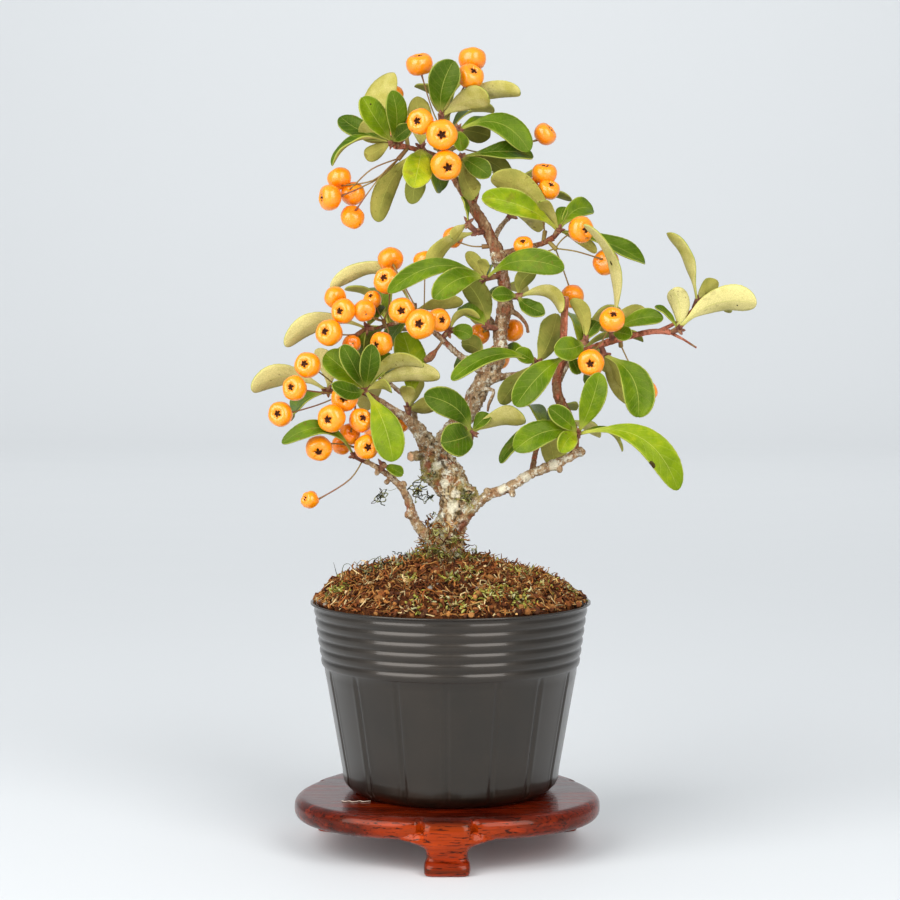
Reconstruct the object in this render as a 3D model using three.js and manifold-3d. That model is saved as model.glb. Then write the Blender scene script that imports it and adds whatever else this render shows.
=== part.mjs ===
// A firethorn bonsai in a ribbed plastic nursery pot on a carved three-footed stand.
// Millimetres, +Z up. The front of the tree looks along -Y.
import * as THREE from "three";
import { mergeVertices } from "three/addons/utils/BufferGeometryUtils.js";
import Module from "manifold-3d";

const wasm = await Module();
wasm.setup();

// Driving dimensions
const POT_RIM_RADIUS = 45;
const POT_BAND_RADIUS = 40.8;
const POT_WAIST_RADIUS = 34.5;
const POT_FOOT_RADIUS = 31.5;
const POT_HEIGHT = 61;
const POT_WALL = 1;
const STAND_TOP = 16.4;
const BOARD_THICKNESS = 7;
const BOARD_MEAN_RADIUS = 48.1;
const BOARD_LOBE = 2.8;
const STAND_SHIFT = -1.1;
const FLOOR = -1.2;
const SOIL_CROWN = 91.6;
const LEAF_THICKNESS = 0.64;
const SEAT_GAP = 0.3;
const TWIG_GAP = 0.45;

// The tree is set out as it is seen from the front: a place is its x and z in the upright
// plane through the trunk, and its depth behind that plane, along the line of sight.
const EYE = new THREE.Vector3(-0.2, -750, 171.3);
const TO_VIEWER = new THREE.Vector3(0, -1, 0);
const UP = new THREE.Vector3(0, 0, 1);

// Where a thing lies that is seen at x and z, a depth behind the plane of the trunk.
function place(x, z, depth) {
  const inPlane = new THREE.Vector3(x, 0, z);
  return inPlane.sub(EYE).multiplyScalar((depth - EYE.y) / -EYE.y).add(EYE);
}

// Colours by eye
const COLOUR = {
  bark: 0x8d7a5e,
  leaf: 0x6f8f22,
  berry: 0xf59a1c,
  pot: 0x3b3835,
  soil: 0x5a3420,
  stand: 0x7a2410,
};

// A solid of a closed geometry, without the faces that have shrunk to a line.
function solidOf(geometry) {
  const bare = geometry.clone();
  bare.deleteAttribute("normal");
  bare.deleteAttribute("uv");
  const merged = mergeVertices(bare, 1e-4);
  const corners = merged.index.array;
  const kept = [];
  for (let i = 0; i < corners.length; i += 3) {
    const [a, b, c] = [corners[i], corners[i + 1], corners[i + 2]];
    if (a !== b && b !== c && c !== a) kept.push(a, b, c);
  }
  return new wasm.Manifold(
    new wasm.Mesh({
      numProp: 3,
      vertProperties: merged.attributes.position.array,
      triVerts: new Uint32Array(kept),
    }),
  );
}

function joined(geometries) {
  return geometries.map(solidOf).reduce((whole, next) => whole.add(next));
}

function meshOf(name, body, colour, roughness) {
  const made = body.getMesh();
  const geometry = new THREE.BufferGeometry();
  geometry.setAttribute("position", new THREE.BufferAttribute(new Float32Array(made.vertProperties), 3));
  geometry.setIndex(new THREE.BufferAttribute(new Uint32Array(made.triVerts), 1));
  geometry.computeVertexNormals();
  const material = new THREE.MeshStandardMaterial({ color: colour, roughness, metalness: 0 });
  const mesh = new THREE.Mesh(geometry, material);
  mesh.name = name;
  return mesh;
}

// The faces between two rings of corners: as many, twice as many, or just one in the second.
function band(first, second, fromCount, toCount) {
  const faces = [];
  for (let k = 0; k < fromCount; k++) {
    const [a, b] = [first + k, first + ((k + 1) % fromCount)];
    if (toCount === 1) {
      faces.push(a, b, second);
    } else if (toCount === fromCount) {
      faces.push(a, b, second + ((k + 1) % toCount), a, second + ((k + 1) % toCount), second + k);
    } else {
      const [c, d, e] = [2 * k, 2 * k + 1, (2 * k + 2) % toCount].map((n) => second + n);
      faces.push(a, d, c, a, b, d, b, e, d);
    }
  }
  return faces;
}

// A closed skin over rings of corners.
function skin(rings) {
  const index = [];
  let first = 0;
  for (let r = 0; r + 1 < rings.length; r++) {
    const second = first + rings[r].length;
    index.push(...band(first, second, rings[r].length, rings[r + 1].length));
    first = second;
  }
  for (let k = 1; k + 1 < rings[0].length; k++) index.push(0, k + 1, k);
  for (let k = 1; k + 1 < rings.at(-1).length; k++) index.push(first, first + k, first + k + 1);
  const geometry = new THREE.BufferGeometry();
  const corners = rings.flat().flatMap((corner) => corner.toArray());
  geometry.setAttribute("position", new THREE.Float32BufferAttribute(corners, 3));
  geometry.setIndex(index);
  return geometry;
}

// A ring of corners about a centre, in the plane of the two given directions.
function ringOf(centre, across, over, radius, sides) {
  return Array.from({ length: sides }, (unused, k) => {
    const turn = (2 * Math.PI * k) / sides;
    const corner = centre.clone().addScaledVector(across, radius * Math.cos(turn));
    return corner.addScaledVector(over, radius * Math.sin(turn));
  });
}

// The rings of a round rod through a row of places, with its own radius at each of them.
function rodRings(points, radii, sides) {
  const ways = points.map((point, i) => {
    const before = points[Math.max(i - 1, 0)];
    const after = points[Math.min(i + 1, points.length - 1)];
    return after.clone().sub(before).normalize();
  });
  const across = ways[0].clone().cross(Math.abs(ways[0].z) < 0.9 ? UP : TO_VIEWER).normalize();
  return points.map((point, i) => {
    across.addScaledVector(ways[i], -across.dot(ways[i])).normalize();
    return ringOf(point, across, ways[i].clone().cross(across), radii[i], sides);
  });
}

function rod(points, radii, sides) {
  return skin(rodRings(points, radii, sides));
}

// The wood: each limb is a list of [x, z, depth, radius], from its root outwards.
const TRUNK = [
  [-2.6, 79, 0, 6.4], [-2.4, 87, 0, 7.4], [-2.5, 94, 0, 5.9], [-0.4, 101, 0, 5.2],
  [1.4, 108, 0, 4.8], [0.6, 114, 0, 5.4], [-3.6, 120.5, 0, 5.7], [-6.4, 126, 0, 4.1],
];
const LIMBS = {
  left: [
    [-6, 124.5, 0, 3.9], [-8.4, 130, -0.5, 2.7], [-12.5, 135, -1.5, 2], [-17.5, 138.6, -3, 1.2],
    [-22, 141.6, -4, 0.95], [-27, 144.3, -5, 0.9], [-32, 145, -3, 0.75], [-37, 145, -1, 0.7],
  ],
  leader: [
    [-5.5, 123.5, 0.5, 4], [-0.8, 130, 1.5, 3.6], [4, 136.6, 2, 3.4], [7.4, 142, 2, 3.3],
    [10, 147.5, 1.5, 3], [13.8, 153, 1, 2.8], [15.8, 158, 1, 2.5], [15.8, 164, 1, 2.3],
    [17, 170.5, 1, 2.45], [17.3, 176, 1, 2.2], [16.6, 182, 0.5, 2], [15.4, 187.8, 0, 2.6],
    [13, 193.5, 0, 1.95], [10.1, 199, 0, 1.85], [7, 204, 0, 1.8], [4.2, 208.5, 0, 1.6],
    [1.5, 212.5, 0.5, 1.3], [-0.5, 218, 1, 1.1], [-2, 224.5, 1, 1], [-3, 230, 0.5, 0.8],
  ],
  lowLeft: [
    [-2, 94, -1, 2.6], [-7.2, 98.3, -2, 2], [-11.6, 103.5, -3, 1.6], [-13.4, 109.8, -4, 1.4],
    [-16, 114.4, -5, 1.2], [-20.3, 118.4, -5.5, 1], [-24.8, 121.4, -6, 0.9], [-28, 122.7, -6.5, 0.7],
  ],
  lowRight: [
    [1.5, 102, -1, 3.4], [6.6, 107.4, -2, 2.2], [11.6, 111.4, -3, 1.7], [19, 114.4, -4, 1.75],
    [24.4, 117.8, -4.5, 1.6], [31.2, 120.8, -5, 1.6], [36.4, 122.9, -5.5, 1.5], [41, 125.4, -6, 1.35],
  ],
  right: [
    [38.5, 124.3, -5.5, 1.1], [40.2, 128, -5.5, 0.95], [39.8, 132.5, -5.5, 1.05], [37.6, 137.6, -5, 1.4],
    [34.8, 142.5, -5, 1.7], [33.9, 147.5, -5, 1.6], [34.6, 151.8, -4.5, 1.4], [37.4, 156, -4, 1.1],
    [42.6, 158, -3.5, 1], [50, 160.6, -2, 1.15], [57.6, 162.7, -1, 1], [65, 164.2, 0, 0.95],
    [70.4, 163.9, 0, 1],
  ],
  rightTip: [[66.5, 164.4, 0, 0.7], [71.4, 166.6, 0.8, 0.6], [74.8, 168.8, 2, 0.5], [77.6, 171.4, 3, 0.6]],
  rightTipThorn: [[70.2, 163.8, 0, 0.6], [74.4, 161.6, 0, 0.4], [78.6, 159, 0, 0.3]],
  redStub: [[36, 154.5, -4.3, 1.2], [36.1, 163, -4.5, 1.25], [36.6, 175.4, -5, 1.2]],
  upperRight: [
    [16, 188.4, 0, 1.7], [20.4, 189.9, -1, 1.05], [25.5, 191, -2, 0.95], [29.5, 192.3, -3, 0.9],
    [32.8, 194, -3.5, 1.1],
  ],
  midLeft: [
    [11.5, 150.5, 1, 1.8], [6.5, 153.8, -2, 1.15], [1.2, 158, -4, 1.05], [-5.5, 164.3, -5, 1],
    [-11, 168.2, -3, 0.85], [-18, 166.7, -2, 0.7], [-24.5, 165, -2, 0.65],
  ],
  midRight: [[10, 147.5, 1, 2], [15.6, 149.6, 0, 1.4], [21.5, 150.3, -1, 1.15], [25.5, 152.2, -1.5, 0.9]],
  crownLeft: [[-0.8, 218.5, 1, 1], [-8, 221.2, 2, 0.9], [-13.5, 222.6, 1.5, 0.9], [-17.6, 223.2, 1, 1.2]],
  crownThorn: [[-16.8, 223.2, 1, 0.75], [-23, 224.3, 5, 0.6], [-29, 226.2, 8, 0.3]],
  crownStub: [[6.6, 203.5, 0, 1.2], [7.7, 207, -1, 1.15], [8.6, 210.6, -1.5, 1]],
  pinkStub: [[-8, 124.4, -2, 1.7], [-13.6, 124.2, -4, 1.5]],
  barkKnob: [[3, 113.5, -2, 2.9], [7.5, 112.2, -2.5, 2]],
  darkKnot: [[17, 171, -0.5, 2.2], [20.2, 171.6, -1, 1.9]],
  rightTwig: [[18.5, 171, 0, 1.2], [21.6, 169.4, -1, 0.75], [24, 166.6, -1, 0.65], [24.8, 163.6, -1, 0.6]],
  lowTwig: [[8, 145.6, -1, 0.9], [13.7, 145.4, -2, 0.6], [12.4, 141.4, -3, 0.6], [11.8, 138.6, -3, 0.35]],
  shortSnag: [[-28.5, 144.4, -5, 0.8], [-28.3, 149, -6, 0.8], [-28.6, 153.2, -6.5, 0.75]],
  driedBud: [
    [-2.4, 161.2, -4.6, 0.5], [-4.6, 158.2, -7, 0.55], [-6.4, 156, -8, 1.3], [-8.4, 154.6, -8.5, 0.9],
  ],
  rootThorn: [[-7.5, 94, -2, 0.6], [-13.4, 92.2, -3.5, 0.35]],
  backCrown: [[-1, 217, 1, 0.9], [0, 221, 8, 0.8], [0, 226, 15, 0.7]],
  backUpper: [[13.6, 192, 0, 1.1], [15, 196, 8, 0.9], [18, 200, 15, 0.75]],
  backTrunk: [[15.8, 161, 1, 1.4], [14, 166, 10, 1.05], [10, 171, 19, 0.8]],
  backMidLeft: [[-9, 166.8, -4, 0.8], [-13, 165, 4, 0.8], [-18, 165, 12, 0.7]],
  backLeft: [[-11.5, 133.5, -1, 1.2], [-12.5, 141, 8, 0.95], [-20, 148, 16, 0.75]],
  backRight: [[34, 147, -5, 1.1], [36.5, 152, 5, 0.9], [40, 157, 14, 0.75]],
  backLowRight: [[26.2, 118.6, -4.7, 1.15], [27, 124.5, 3, 0.9], [29.2, 131.6, 12, 0.75]],
};
const TRUNK_SIDES = 9;
const LIMB_SIDES = {
  leader: 7, left: 6, lowRight: 6, lowLeft: 6, right: 5, upperRight: 5, midLeft: 5, midRight: 5,
};
const TWIG_SIDES = 4;

// A rod along a limb's rows, thickened by extra where it cuts the soil.
function limb(rows, sides, extra = 0) {
  const points = rows.map(([x, z, depth]) => place(x, z, depth));
  const radii = rows.map((row) => row[3] + extra);
  return rod(points, radii, sides);
}

function trunkRod(extra) {
  return limb(TRUNK, TRUNK_SIDES, extra);
}

function wood() {
  const limbs = Object.entries(LIMBS).map(([name, rows]) => limb(rows, LIMB_SIDES[name] ?? TWIG_SIDES));
  return joined([trunkRod(0), ...limbs]);
}

// Half width of a blade, as a share of its greatest, along its length: narrow at the stalk,
// widest beyond the middle, and round at the tip. A short leaf has fewer stations.
const BLADE_STATIONS = [[0, 0.09], [0.2, 0.18], [0.52, 0.9], [0.82, 0.93], [1, 0.22]];
const SHORT_STATIONS = [[0, 0.09], [0.4, 0.7], [0.78, 0.96], [1, 0.22]];
const SHORT_LENGTH = 22;

// One leaf from base to tip. face is its upper side's normal, bend arches it towards that side
// and drift is how far its middle lies off the straight line, all as shares of its length.
function blade(base, tip, face, width, bend, drift) {
  const span = tip.clone().sub(base);
  const length = span.length();
  const way = span.clone().normalize();
  const bow = face.clone().multiplyScalar(bend).add(drift);
  const stations = length < SHORT_LENGTH ? SHORT_STATIONS : BLADE_STATIONS;
  return skin(stations.map(([t, share]) => {
    const spot = base.clone().addScaledVector(span, t).addScaledVector(bow, 4 * t * (1 - t) * length);
    const tangent = way.clone().addScaledVector(bow, 4 * (1 - 2 * t)).normalize();
    const side = tangent.clone().cross(face).normalize();
    const above = side.clone().cross(tangent).multiplyScalar(LEAF_THICKNESS / 2);
    const half = side.multiplyScalar((share * width) / 2);
    return [[-1, 1], [1, 1], [1, -1], [-1, -1]].map(([s, n]) =>
      spot.clone().addScaledVector(half, s).addScaledVector(above, n));
  }));
}

// A leaf as it is seen from the front. tilt turns its upper face from the viewer (0) over
// upwards (90) to the far side (180). sway bows it to the right of its way, as it is seen.
function seenLeaf(hub, [x, z, depth, width, tilt, bend, sway]) {
  const tip = place(x, z, depth);
  const way = tip.clone().sub(hub).normalize();
  const base = hub.clone().addScaledVector(way, KNOB_ROOT);
  const front = TO_VIEWER.clone().addScaledVector(way, -TO_VIEWER.dot(way)).normalize();
  const right = way.clone().cross(front);
  const upward = right.x * 0.2 + right.z >= 0 ? right.clone() : right.clone().negate();
  const turn = THREE.MathUtils.degToRad(tilt);
  const face = front.clone().multiplyScalar(Math.cos(turn)).addScaledVector(upward, Math.sin(turn));
  return blade(base, tip, face, width, bend, right.clone().multiplyScalar(sway));
}

// A spray's leaves stand out of a knob, each from a little way out of its middle.
const KNOB_RADIUS = 1.3;
const KNOB_ROOT = 0.55;

// The leafy sprays that are seen from the front. root is the place and radius of the wood that
// the spray grows from, joints are the places that its
// leaves grow from, and a leaf is the number of its joint, its
// tip's x, z and depth, its width, tilt, bend and sway.
const SPRAYS = {
  crown_left: {
    root: [-17.6, 223.2, 1, 1.2],
    joints: [[-18.6, 224.3, -2.6]],
    leaves: [
      [0, -28, 238.5, -9, 8, 15, 0.1, -0.05], [0, -17.3, 245.5, 4, 10, 150, 0.1, -0.33],
      [0, -35, 232.3, 6, 7, 25, 0.08, -0.1], [0, -28.9, 229.5, -1, 8, 165, 0.1, 0],
      [0, -38, 217, -6, 5.5, 72, 0.22, 0], [0, -27, 219.3, -4, 5, 170, 0.1, 0],
      [0, -18.6, 240.5, -13, 7, 20, 0.1, 0.05], [0, -12.6, 229.3, -9, 5, 10, 0.1, 0],
    ],
  },
  crown_low: {
    root: [-8, 221.2, 2, 0.9],
    joints: [[-9.2, 222.4, -2.2]],
    leaves: [
      [0, -11.8, 209.8, -14, 9.5, 5, 0.12, 0], [0, -12, 204.8, -3, 6.5, 165, 0.1, 0.05],
      [0, -23.2, 199.1, 0, 7, 160, 0.12, 0.08], [0, -11, 238.5, 6, 8, 165, 0.1, 0],
      [0, -3, 209, 8, 7, 30, 0.1, 0],
    ],
  },
  crown_top: {
    root: [-3, 230, 0.5, 0.8],
    joints: [[-3, 232.6, -0.6]],
    leaves: [
      [0, 1, 250, -7, 9.8, 8, 0.08, -0.08], [0, 12.3, 238.3, -9, 8, 160, 0.12, -0.06],
      [0, 22.3, 240, -7, 6, 150, 0.15, -0.05], [0, -5, 246, 13, 9, 150, 0.1, 0],
    ],
  },
  crown_right: {
    root: [-2, 224.5, 1, 1],
    joints: [[2.2, 228.3, -1.5]],
    leaves: [
      [0, 25, 221.3, -5, 8.5, 25, 0.08, -0.2], [0, 14.3, 231, 2, 6, 60, 0.1, 0],
      [0, 12.6, 226.3, 5, 7.5, 155, 0.1, 0], [0, 3.4, 221.6, -6, 5, 10, 0.1, 0],
    ],
  },
  crown_inner: {
    root: [-0.5, 218, 1, 1.1],
    joints: [[3.2, 219.6, -3.2]],
    leaves: [
      [0, 12.5, 213.6, -10, 6.5, 8, 0.1, 0], [0, 26.5, 220.4, 0, 7, 35, 0.15, 0.04],
      [0, 8, 206.8, -8, 6.5, 160, 0.1, 0.1], [0, 19.5, 212.2, 3, 5.5, 150, 0.1, -0.1],
    ],
  },
  upper_right: {
    root: [32.8, 194, -3.5, 1.1],
    joints: [[34.4, 196.4, -5.6]],
    leaves: [
      [0, 10, 206.8, -14, 7.8, 12, 0.1, 0.06], [0, 13, 213.3, -11, 8, 160, 0.1, 0.1],
      [0, 45.6, 203, 3, 6.5, 15, 0.1, -0.15], [0, 28.4, 205.4, -17, 4, 150, 0.1, 0],
      [0, 36, 203.8, -2, 4, 20, 0.1, 0], [0, 61.8, 186, 2, 7, 50, 0.12, -0.1],
      [0, 46.5, 189.3, -4, 4, 140, 0.1, 0],
    ],
  },
  stem_left: {
    root: [11.7, 196, 0, 1.9],
    joints: [[8.4, 195.9, -2.6], [5.6, 198.8, -3.6]],
    leaves: [
      [0, -7, 182.3, -3, 5.5, 150, 0.12, 0.12], [1, 0.3, 193.8, -7, 3.8, 150, 0.1, 0],
      [1, 3.5, 207, -5, 3.5, 70, 0.05, 0],
    ],
  },
  stem_middle: {
    root: [16.5, 182, 0.5, 2],
    joints: [[11.2, 181.2, -3]],
    leaves: [
      [0, -5.5, 174.6, -15, 8, 8, 0.1, 0.12], [0, -20, 176.5, -15, 6, 12, 0.1, 0.16],
      [0, 36.2, 184, -17, 8, 10, 0.1, -0.13], [0, 9.8, 187.4, -7, 4, 150, 0.05, 0],
      [0, 5, 189.3, 2, 4.5, 160, 0.1, 0],
    ],
  },
  trunk_left: {
    root: [15.8, 165, 1, 2.3],
    joints: [[12, 165.6, -2.5]],
    leaves: [[0, 4.4, 180.8, 2, 8, 160, 0.1, 0.05], [0, 3.5, 172, 6, 7, 30, 0.1, 0]],
  },
  trunk_left_low: {
    root: [14.6, 155.4, 1, 2.7],
    joints: [[10.6, 156.2, -1.2]],
    leaves: [[0, 3.6, 160.2, 3, 6.5, 150, 0.1, 0.1], [0, 2, 150, 8, 7, 40, 0.1, 0]],
  },
  trunk_right: {
    root: [17.2, 175, 1, 2.2],
    joints: [[21.4, 175.4, -3]],
    leaves: [
      [0, 13.3, 175.6, -7, 5, 20, 0.1, 0], [0, 27.2, 184, 1, 6, 155, 0.1, -0.1],
      [0, 35.3, 170.2, -9, 5, 150, 0.2, -0.2], [0, 30, 170, -12, 5.5, 15, 0.1, 0.1],
    ],
  },
  middle: {
    root: [25.5, 152.2, -1.5, 0.9],
    joints: [[27.4, 153.9, -4.6]],
    leaves: [
      [0, 0.3, 148.7, -19, 5.5, 35, 0.12, 0.1], [0, 33.9, 169.8, 3, 8, 160, 0.1, 0.1],
      [0, 20.8, 157.8, -9, 5, 20, 0.1, 0], [0, 15.8, 141, -5, 6.5, 160, 0.1, 0],
      [0, 17.4, 158.8, 6, 5, 20, 0.1, 0],
    ],
  },
  right_middle: {
    root: [37, 155.6, -4, 1.2],
    joints: [[37.6, 156.8, -7.4], [43, 160.8, -8]],
    leaves: [
      [0, 20.8, 140.3, -18, 8.5, 10, 0.12, 0.05], [1, 33.2, 158.6, -15, 8, 8, 0.12, -0.1],
      [1, 38.6, 174.5, -9, 5, 150, 0.1, 0.1], [1, 46.8, 167.3, -6, 6, 30, 0.1, 0],
      [0, 41, 150.6, -10, 4.5, 20, 0.1, 0],
    ],
  },
  right_inner: {
    root: [51.5, 161, -1.8, 1.15],
    joints: [[51.6, 164, -3.4]],
    leaves: [
      [0, 42.6, 198.4, -19, 6.5, 145, 0.08, 0.07], [0, 47.2, 168, 1, 5, 165, 0.1, 0],
      [0, 57.8, 162.8, -10, 5, 15, 0.1, 0], [0, 68, 168.5, -4, 5.5, 20, 0.1, -0.08],
      [0, 62, 171.2, 3, 4.5, 160, 0.1, -0.1],
    ],
  },
  right_under: {
    root: [48, 159.9, -2.3, 1.1],
    joints: [[49, 156.9, -3.6]],
    leaves: [
      [0, 60, 136.8, -11, 11, 15, 0.12, -0.25], [0, 55.2, 146.4, -1, 4, 150, 0.1, 0],
      [0, 56.8, 141, 3, 4.5, 150, 0.1, 0.1], [0, 45, 146, 6, 7, 40, 0.1, 0],
    ],
  },
  right_low: {
    root: [39.9, 131.5, -5.5, 1.05],
    joints: [[40.8, 131.7, -9.4]],
    leaves: [
      [0, 47.6, 151, -16, 8, 10, 0.08, 0.05], [0, 72.8, 113.4, -16, 9, 18, 0.12, -0.2],
      [0, 55.3, 125.9, -6, 4.5, 75, 0.15, -0.1], [0, 35.3, 125.4, -17, 6, 5, 0.1, 0.1],
      [0, 20.5, 126, -16, 9, 25, 0.12, 0.1], [0, 16, 122, -8, 5.5, 45, 0.1, 0.15],
      [0, 31.4, 139.8, -15, 6, 15, 0.1, 0],
    ],
  },
  right_tip: {
    root: [70.4, 163.9, 0, 1],
    joints: [[72.6, 164.9, -1.5]],
    leaves: [
      [0, 97.6, 173, -6, 9.5, 150, 0.12, -0.1], [0, 70.6, 177.5, -4, 6.5, 165, 0.1, 0.12],
      [0, 65.3, 172.3, -3, 4, 60, 0.1, 0],
    ],
  },
  right_tip_upper: {
    root: [77.6, 171.4, 3, 0.6],
    joints: [[78.7, 173.6, 3]],
    leaves: [
      [0, 69.6, 196, 1, 6.5, 55, 0.08, 0], [0, 85.2, 180.2, 7, 5.5, 155, 0.1, 0],
      [0, 88, 171, 20, 8, 60, 0.15, 0],
    ],
  },
  trunk_front: {
    root: [4, 136.6, 2, 3.4],
    joints: [[6.6, 131.8, -5]],
    leaves: [
      [0, -8.5, 143.7, -14, 9, 12, 0.1, 0.13], [0, -3, 128.4, -17, 11, 5, 0.15, -0.05],
      [0, 12.5, 137.6, -5, 5, 30, 0.1, 0], [0, 24, 136, -11, 7.5, 150, 0.12, -0.05],
    ],
  },
  left: {
    root: [-27, 144.3, -5, 0.9],
    joints: [[-27.3, 145.4, -8.6]],
    leaves: [
      [0, -34.5, 159.8, -15, 6.3, 8, 0.1, 0], [0, -25.2, 160, -18, 6.3, 8, 0.1, 0],
      [0, -40, 157, -9, 9, 12, 0.1, 0], [0, -37.8, 147.3, -22, 5.5, 12, 0.1, -0.1],
      [0, -8.5, 153.2, -17, 5.5, 150, 0.15, -0.15], [0, -3.5, 149.7, -11, 6, 160, 0.1, -0.08],
      [0, -18.8, 145, -18, 4, 150, 0.1, -0.1], [0, -18.5, 122.5, -18, 9.8, 6, 0.1, -0.06],
      [0, -19.3, 157.2, -3, 6, 15, 0.1, 0],
    ],
  },
  left_inner: {
    root: [-13.5, 135.8, -1.8, 1.8],
    joints: [[-13.6, 139.4, -2.4]],
    leaves: [
      [0, -14.2, 146.8, -7, 5, 165, 0.1, 0], [0, -9, 148.5, 1, 5, 150, 0.1, 0],
      [0, -15.5, 163.8, 1, 10, 20, 0.1, 0.05], [0, -5, 139.5, 2, 6, 150, 0.1, 0],
    ],
  },
  left_far: {
    root: [-37, 145, -1, 0.7],
    joints: [[-39.2, 145.2, -1.4]],
    leaves: [
      [0, -63.5, 145.4, -5, 8, 150, 0.18, 0.1], [0, -43, 158.5, 1, 6, 160, 0.1, 0.1],
      [0, -50, 137, 16, 8, 50, 0.12, 0],
    ],
  },
  left_middle: {
    root: [-24.5, 165, -2, 0.65],
    joints: [[-26.8, 165.4, -2.4]],
    leaves: [
      [0, -53, 159.6, -3, 7, 150, 0.15, 0.12], [0, -22.3, 172.6, 2, 5.5, 20, 0.1, 0],
      [0, -31, 156, 3, 7, 20, 0.1, 0],
    ],
  },
  left_top: {
    root: [-11, 168.2, -3, 0.85],
    joints: [[-11.6, 170.8, -1.6]],
    leaves: [
      [0, -38.5, 178, 1, 6, 135, 0.2, 0.2], [0, 4, 173.4, 3, 5, 150, 0.1, 0],
      [0, -20, 159, 13, 6, 30, 0.1, 0],
    ],
  },
  middle_left: {
    root: [-3, 161.9, -4.6, 1],
    joints: [[-0.8, 164, -5.6]],
    leaves: [[0, 9.3, 168.3, -7, 4.5, 120, 0.2, -0.15], [0, 6.6, 162.6, -8, 5.5, 20, 0.1, -0.1]],
  },
  low_left: {
    root: [-28, 122.7, -6.5, 0.7],
    joints: [[-30.6, 124.4, -8.4]],
    leaves: [[0, -54, 128.4, -15, 5.5, 40, 0.15, 0.2]],
  },
  low_left_small: {
    root: [-22, 119.6, -5.7, 1],
    joints: [[-21.8, 121.3, -7.2]],
    leaves: [[0, -15.3, 118.4, -9, 3.6, 20, 0.1, 0]],
  },
};

// The sprays behind the trunk: the wood that each grows from, the way it faces, in degrees to the
// right of straight back and above the level, and how many leaves it has.
const BACK_SPRAYS = {
  back_crown: { root: LIMBS.backCrown.at(-1), facing: [-10, 35], leaves: 4 },
  back_upper: { root: LIMBS.backUpper.at(-1), facing: [30, 25], leaves: 4 },
  back_trunk: { root: LIMBS.backTrunk.at(-1), facing: [-5, 20], leaves: 4 },
  back_middle_left: { root: LIMBS.backMidLeft.at(-1), facing: [-35, 15], leaves: 4 },
  back_left: { root: LIMBS.backLeft.at(-1), facing: [-30, 5], leaves: 4 },
  back_right: { root: LIMBS.backRight.at(-1), facing: [35, 15], leaves: 4 },
  back_low_right: { root: LIMBS.backLowRight.at(-1), facing: [15, 10], leaves: 4 },
};
const BACK_LEAF = { length: 21, width: 8.5, spread: 52, bend: 0.16, stem: 2.6, lean: -0.4 };
const LEAF_TURN = THREE.MathUtils.degToRad(137.5);

// The short stem of a spray or bunch, clear of the wood by a seam and thick where it ends.
function stem(root, joints, endRadius) {
  const wood = place(root[0], root[1], root[2]);
  const way = joints[0].clone().sub(wood).normalize();
  const start = wood.addScaledVector(way, root[3] + TWIG_GAP);
  const end = joints.at(-1).clone().addScaledVector(way, 0.75 * endRadius);
  const points = [start, ...joints.slice(0, -1), end];
  return rod(points, points.map((point) => (point === start ? 0.7 : endRadius)), TWIG_SIDES);
}

// A spray's stem and the leaves that grow from its joints.
function spray({ root, joints: rows, leaves }) {
  const joints = rows.map(([x, z, depth]) => place(x, z, depth));
  const blades = leaves.map(([joint, ...row]) => seenLeaf(joints[joint], row));
  return joined([stem(root, joints, KNOB_RADIUS), ...blades]);
}

// A spray behind the trunk: its leaves stand round the way it faces, each a golden angle on from
// the last, the later ones closer to that way.
function backSpray({ root, facing, leaves }) {
  const [turn, rise] = facing.map(THREE.MathUtils.degToRad);
  const level = new THREE.Vector3(Math.sin(turn), Math.cos(turn), 0);
  const way = level.multiplyScalar(Math.cos(rise)).addScaledVector(UP, Math.sin(rise));
  const hub = place(root[0], root[1], root[2]).addScaledVector(way, BACK_LEAF.stem);
  const side = way.clone().cross(UP).normalize();
  const over = side.clone().cross(way);
  const blades = [];
  for (let k = 0; k < leaves; k++) {
    const spread = THREE.MathUtils.degToRad(BACK_LEAF.spread * (1 - (0.5 * k) / leaves));
    const out = side.clone().multiplyScalar(Math.cos(k * LEAF_TURN));
    out.addScaledVector(over, Math.sin(k * LEAF_TURN));
    const reach = way.clone().multiplyScalar(Math.cos(spread)).addScaledVector(out, Math.sin(spread));
    const tip = hub.clone().addScaledVector(reach, BACK_LEAF.length * (1 - 0.06 * (k % 3)));
    const face = UP.clone().addScaledVector(out, BACK_LEAF.lean);
    face.addScaledVector(reach, -face.dot(reach)).normalize();
    const base = hub.clone().addScaledVector(reach, KNOB_ROOT);
    blades.push(blade(base, tip, face, BACK_LEAF.width, BACK_LEAF.bend, new THREE.Vector3()));
  }
  const limbEnd = [...root.slice(0, 3), 0.3 * root[3]];
  return joined([stem(limbEnd, [hub], KNOB_RADIUS), ...blades]);
}

// A berry's rings from its stalk to its sunken eye: radius and height as shares of its radius.
const BERRY_RINGS = [[0.86, -0.46], [1, 0.14], [0.5, 0.74], [0, 0.5]];
const BERRY_FOOT = 0.78;
const BERRY_SIDES = 6;
const STALK_RADIUS = 0.45;
const STALK_ROOT = 0.4;
const STALK_KNOB_RADIUS = 1;

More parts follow.
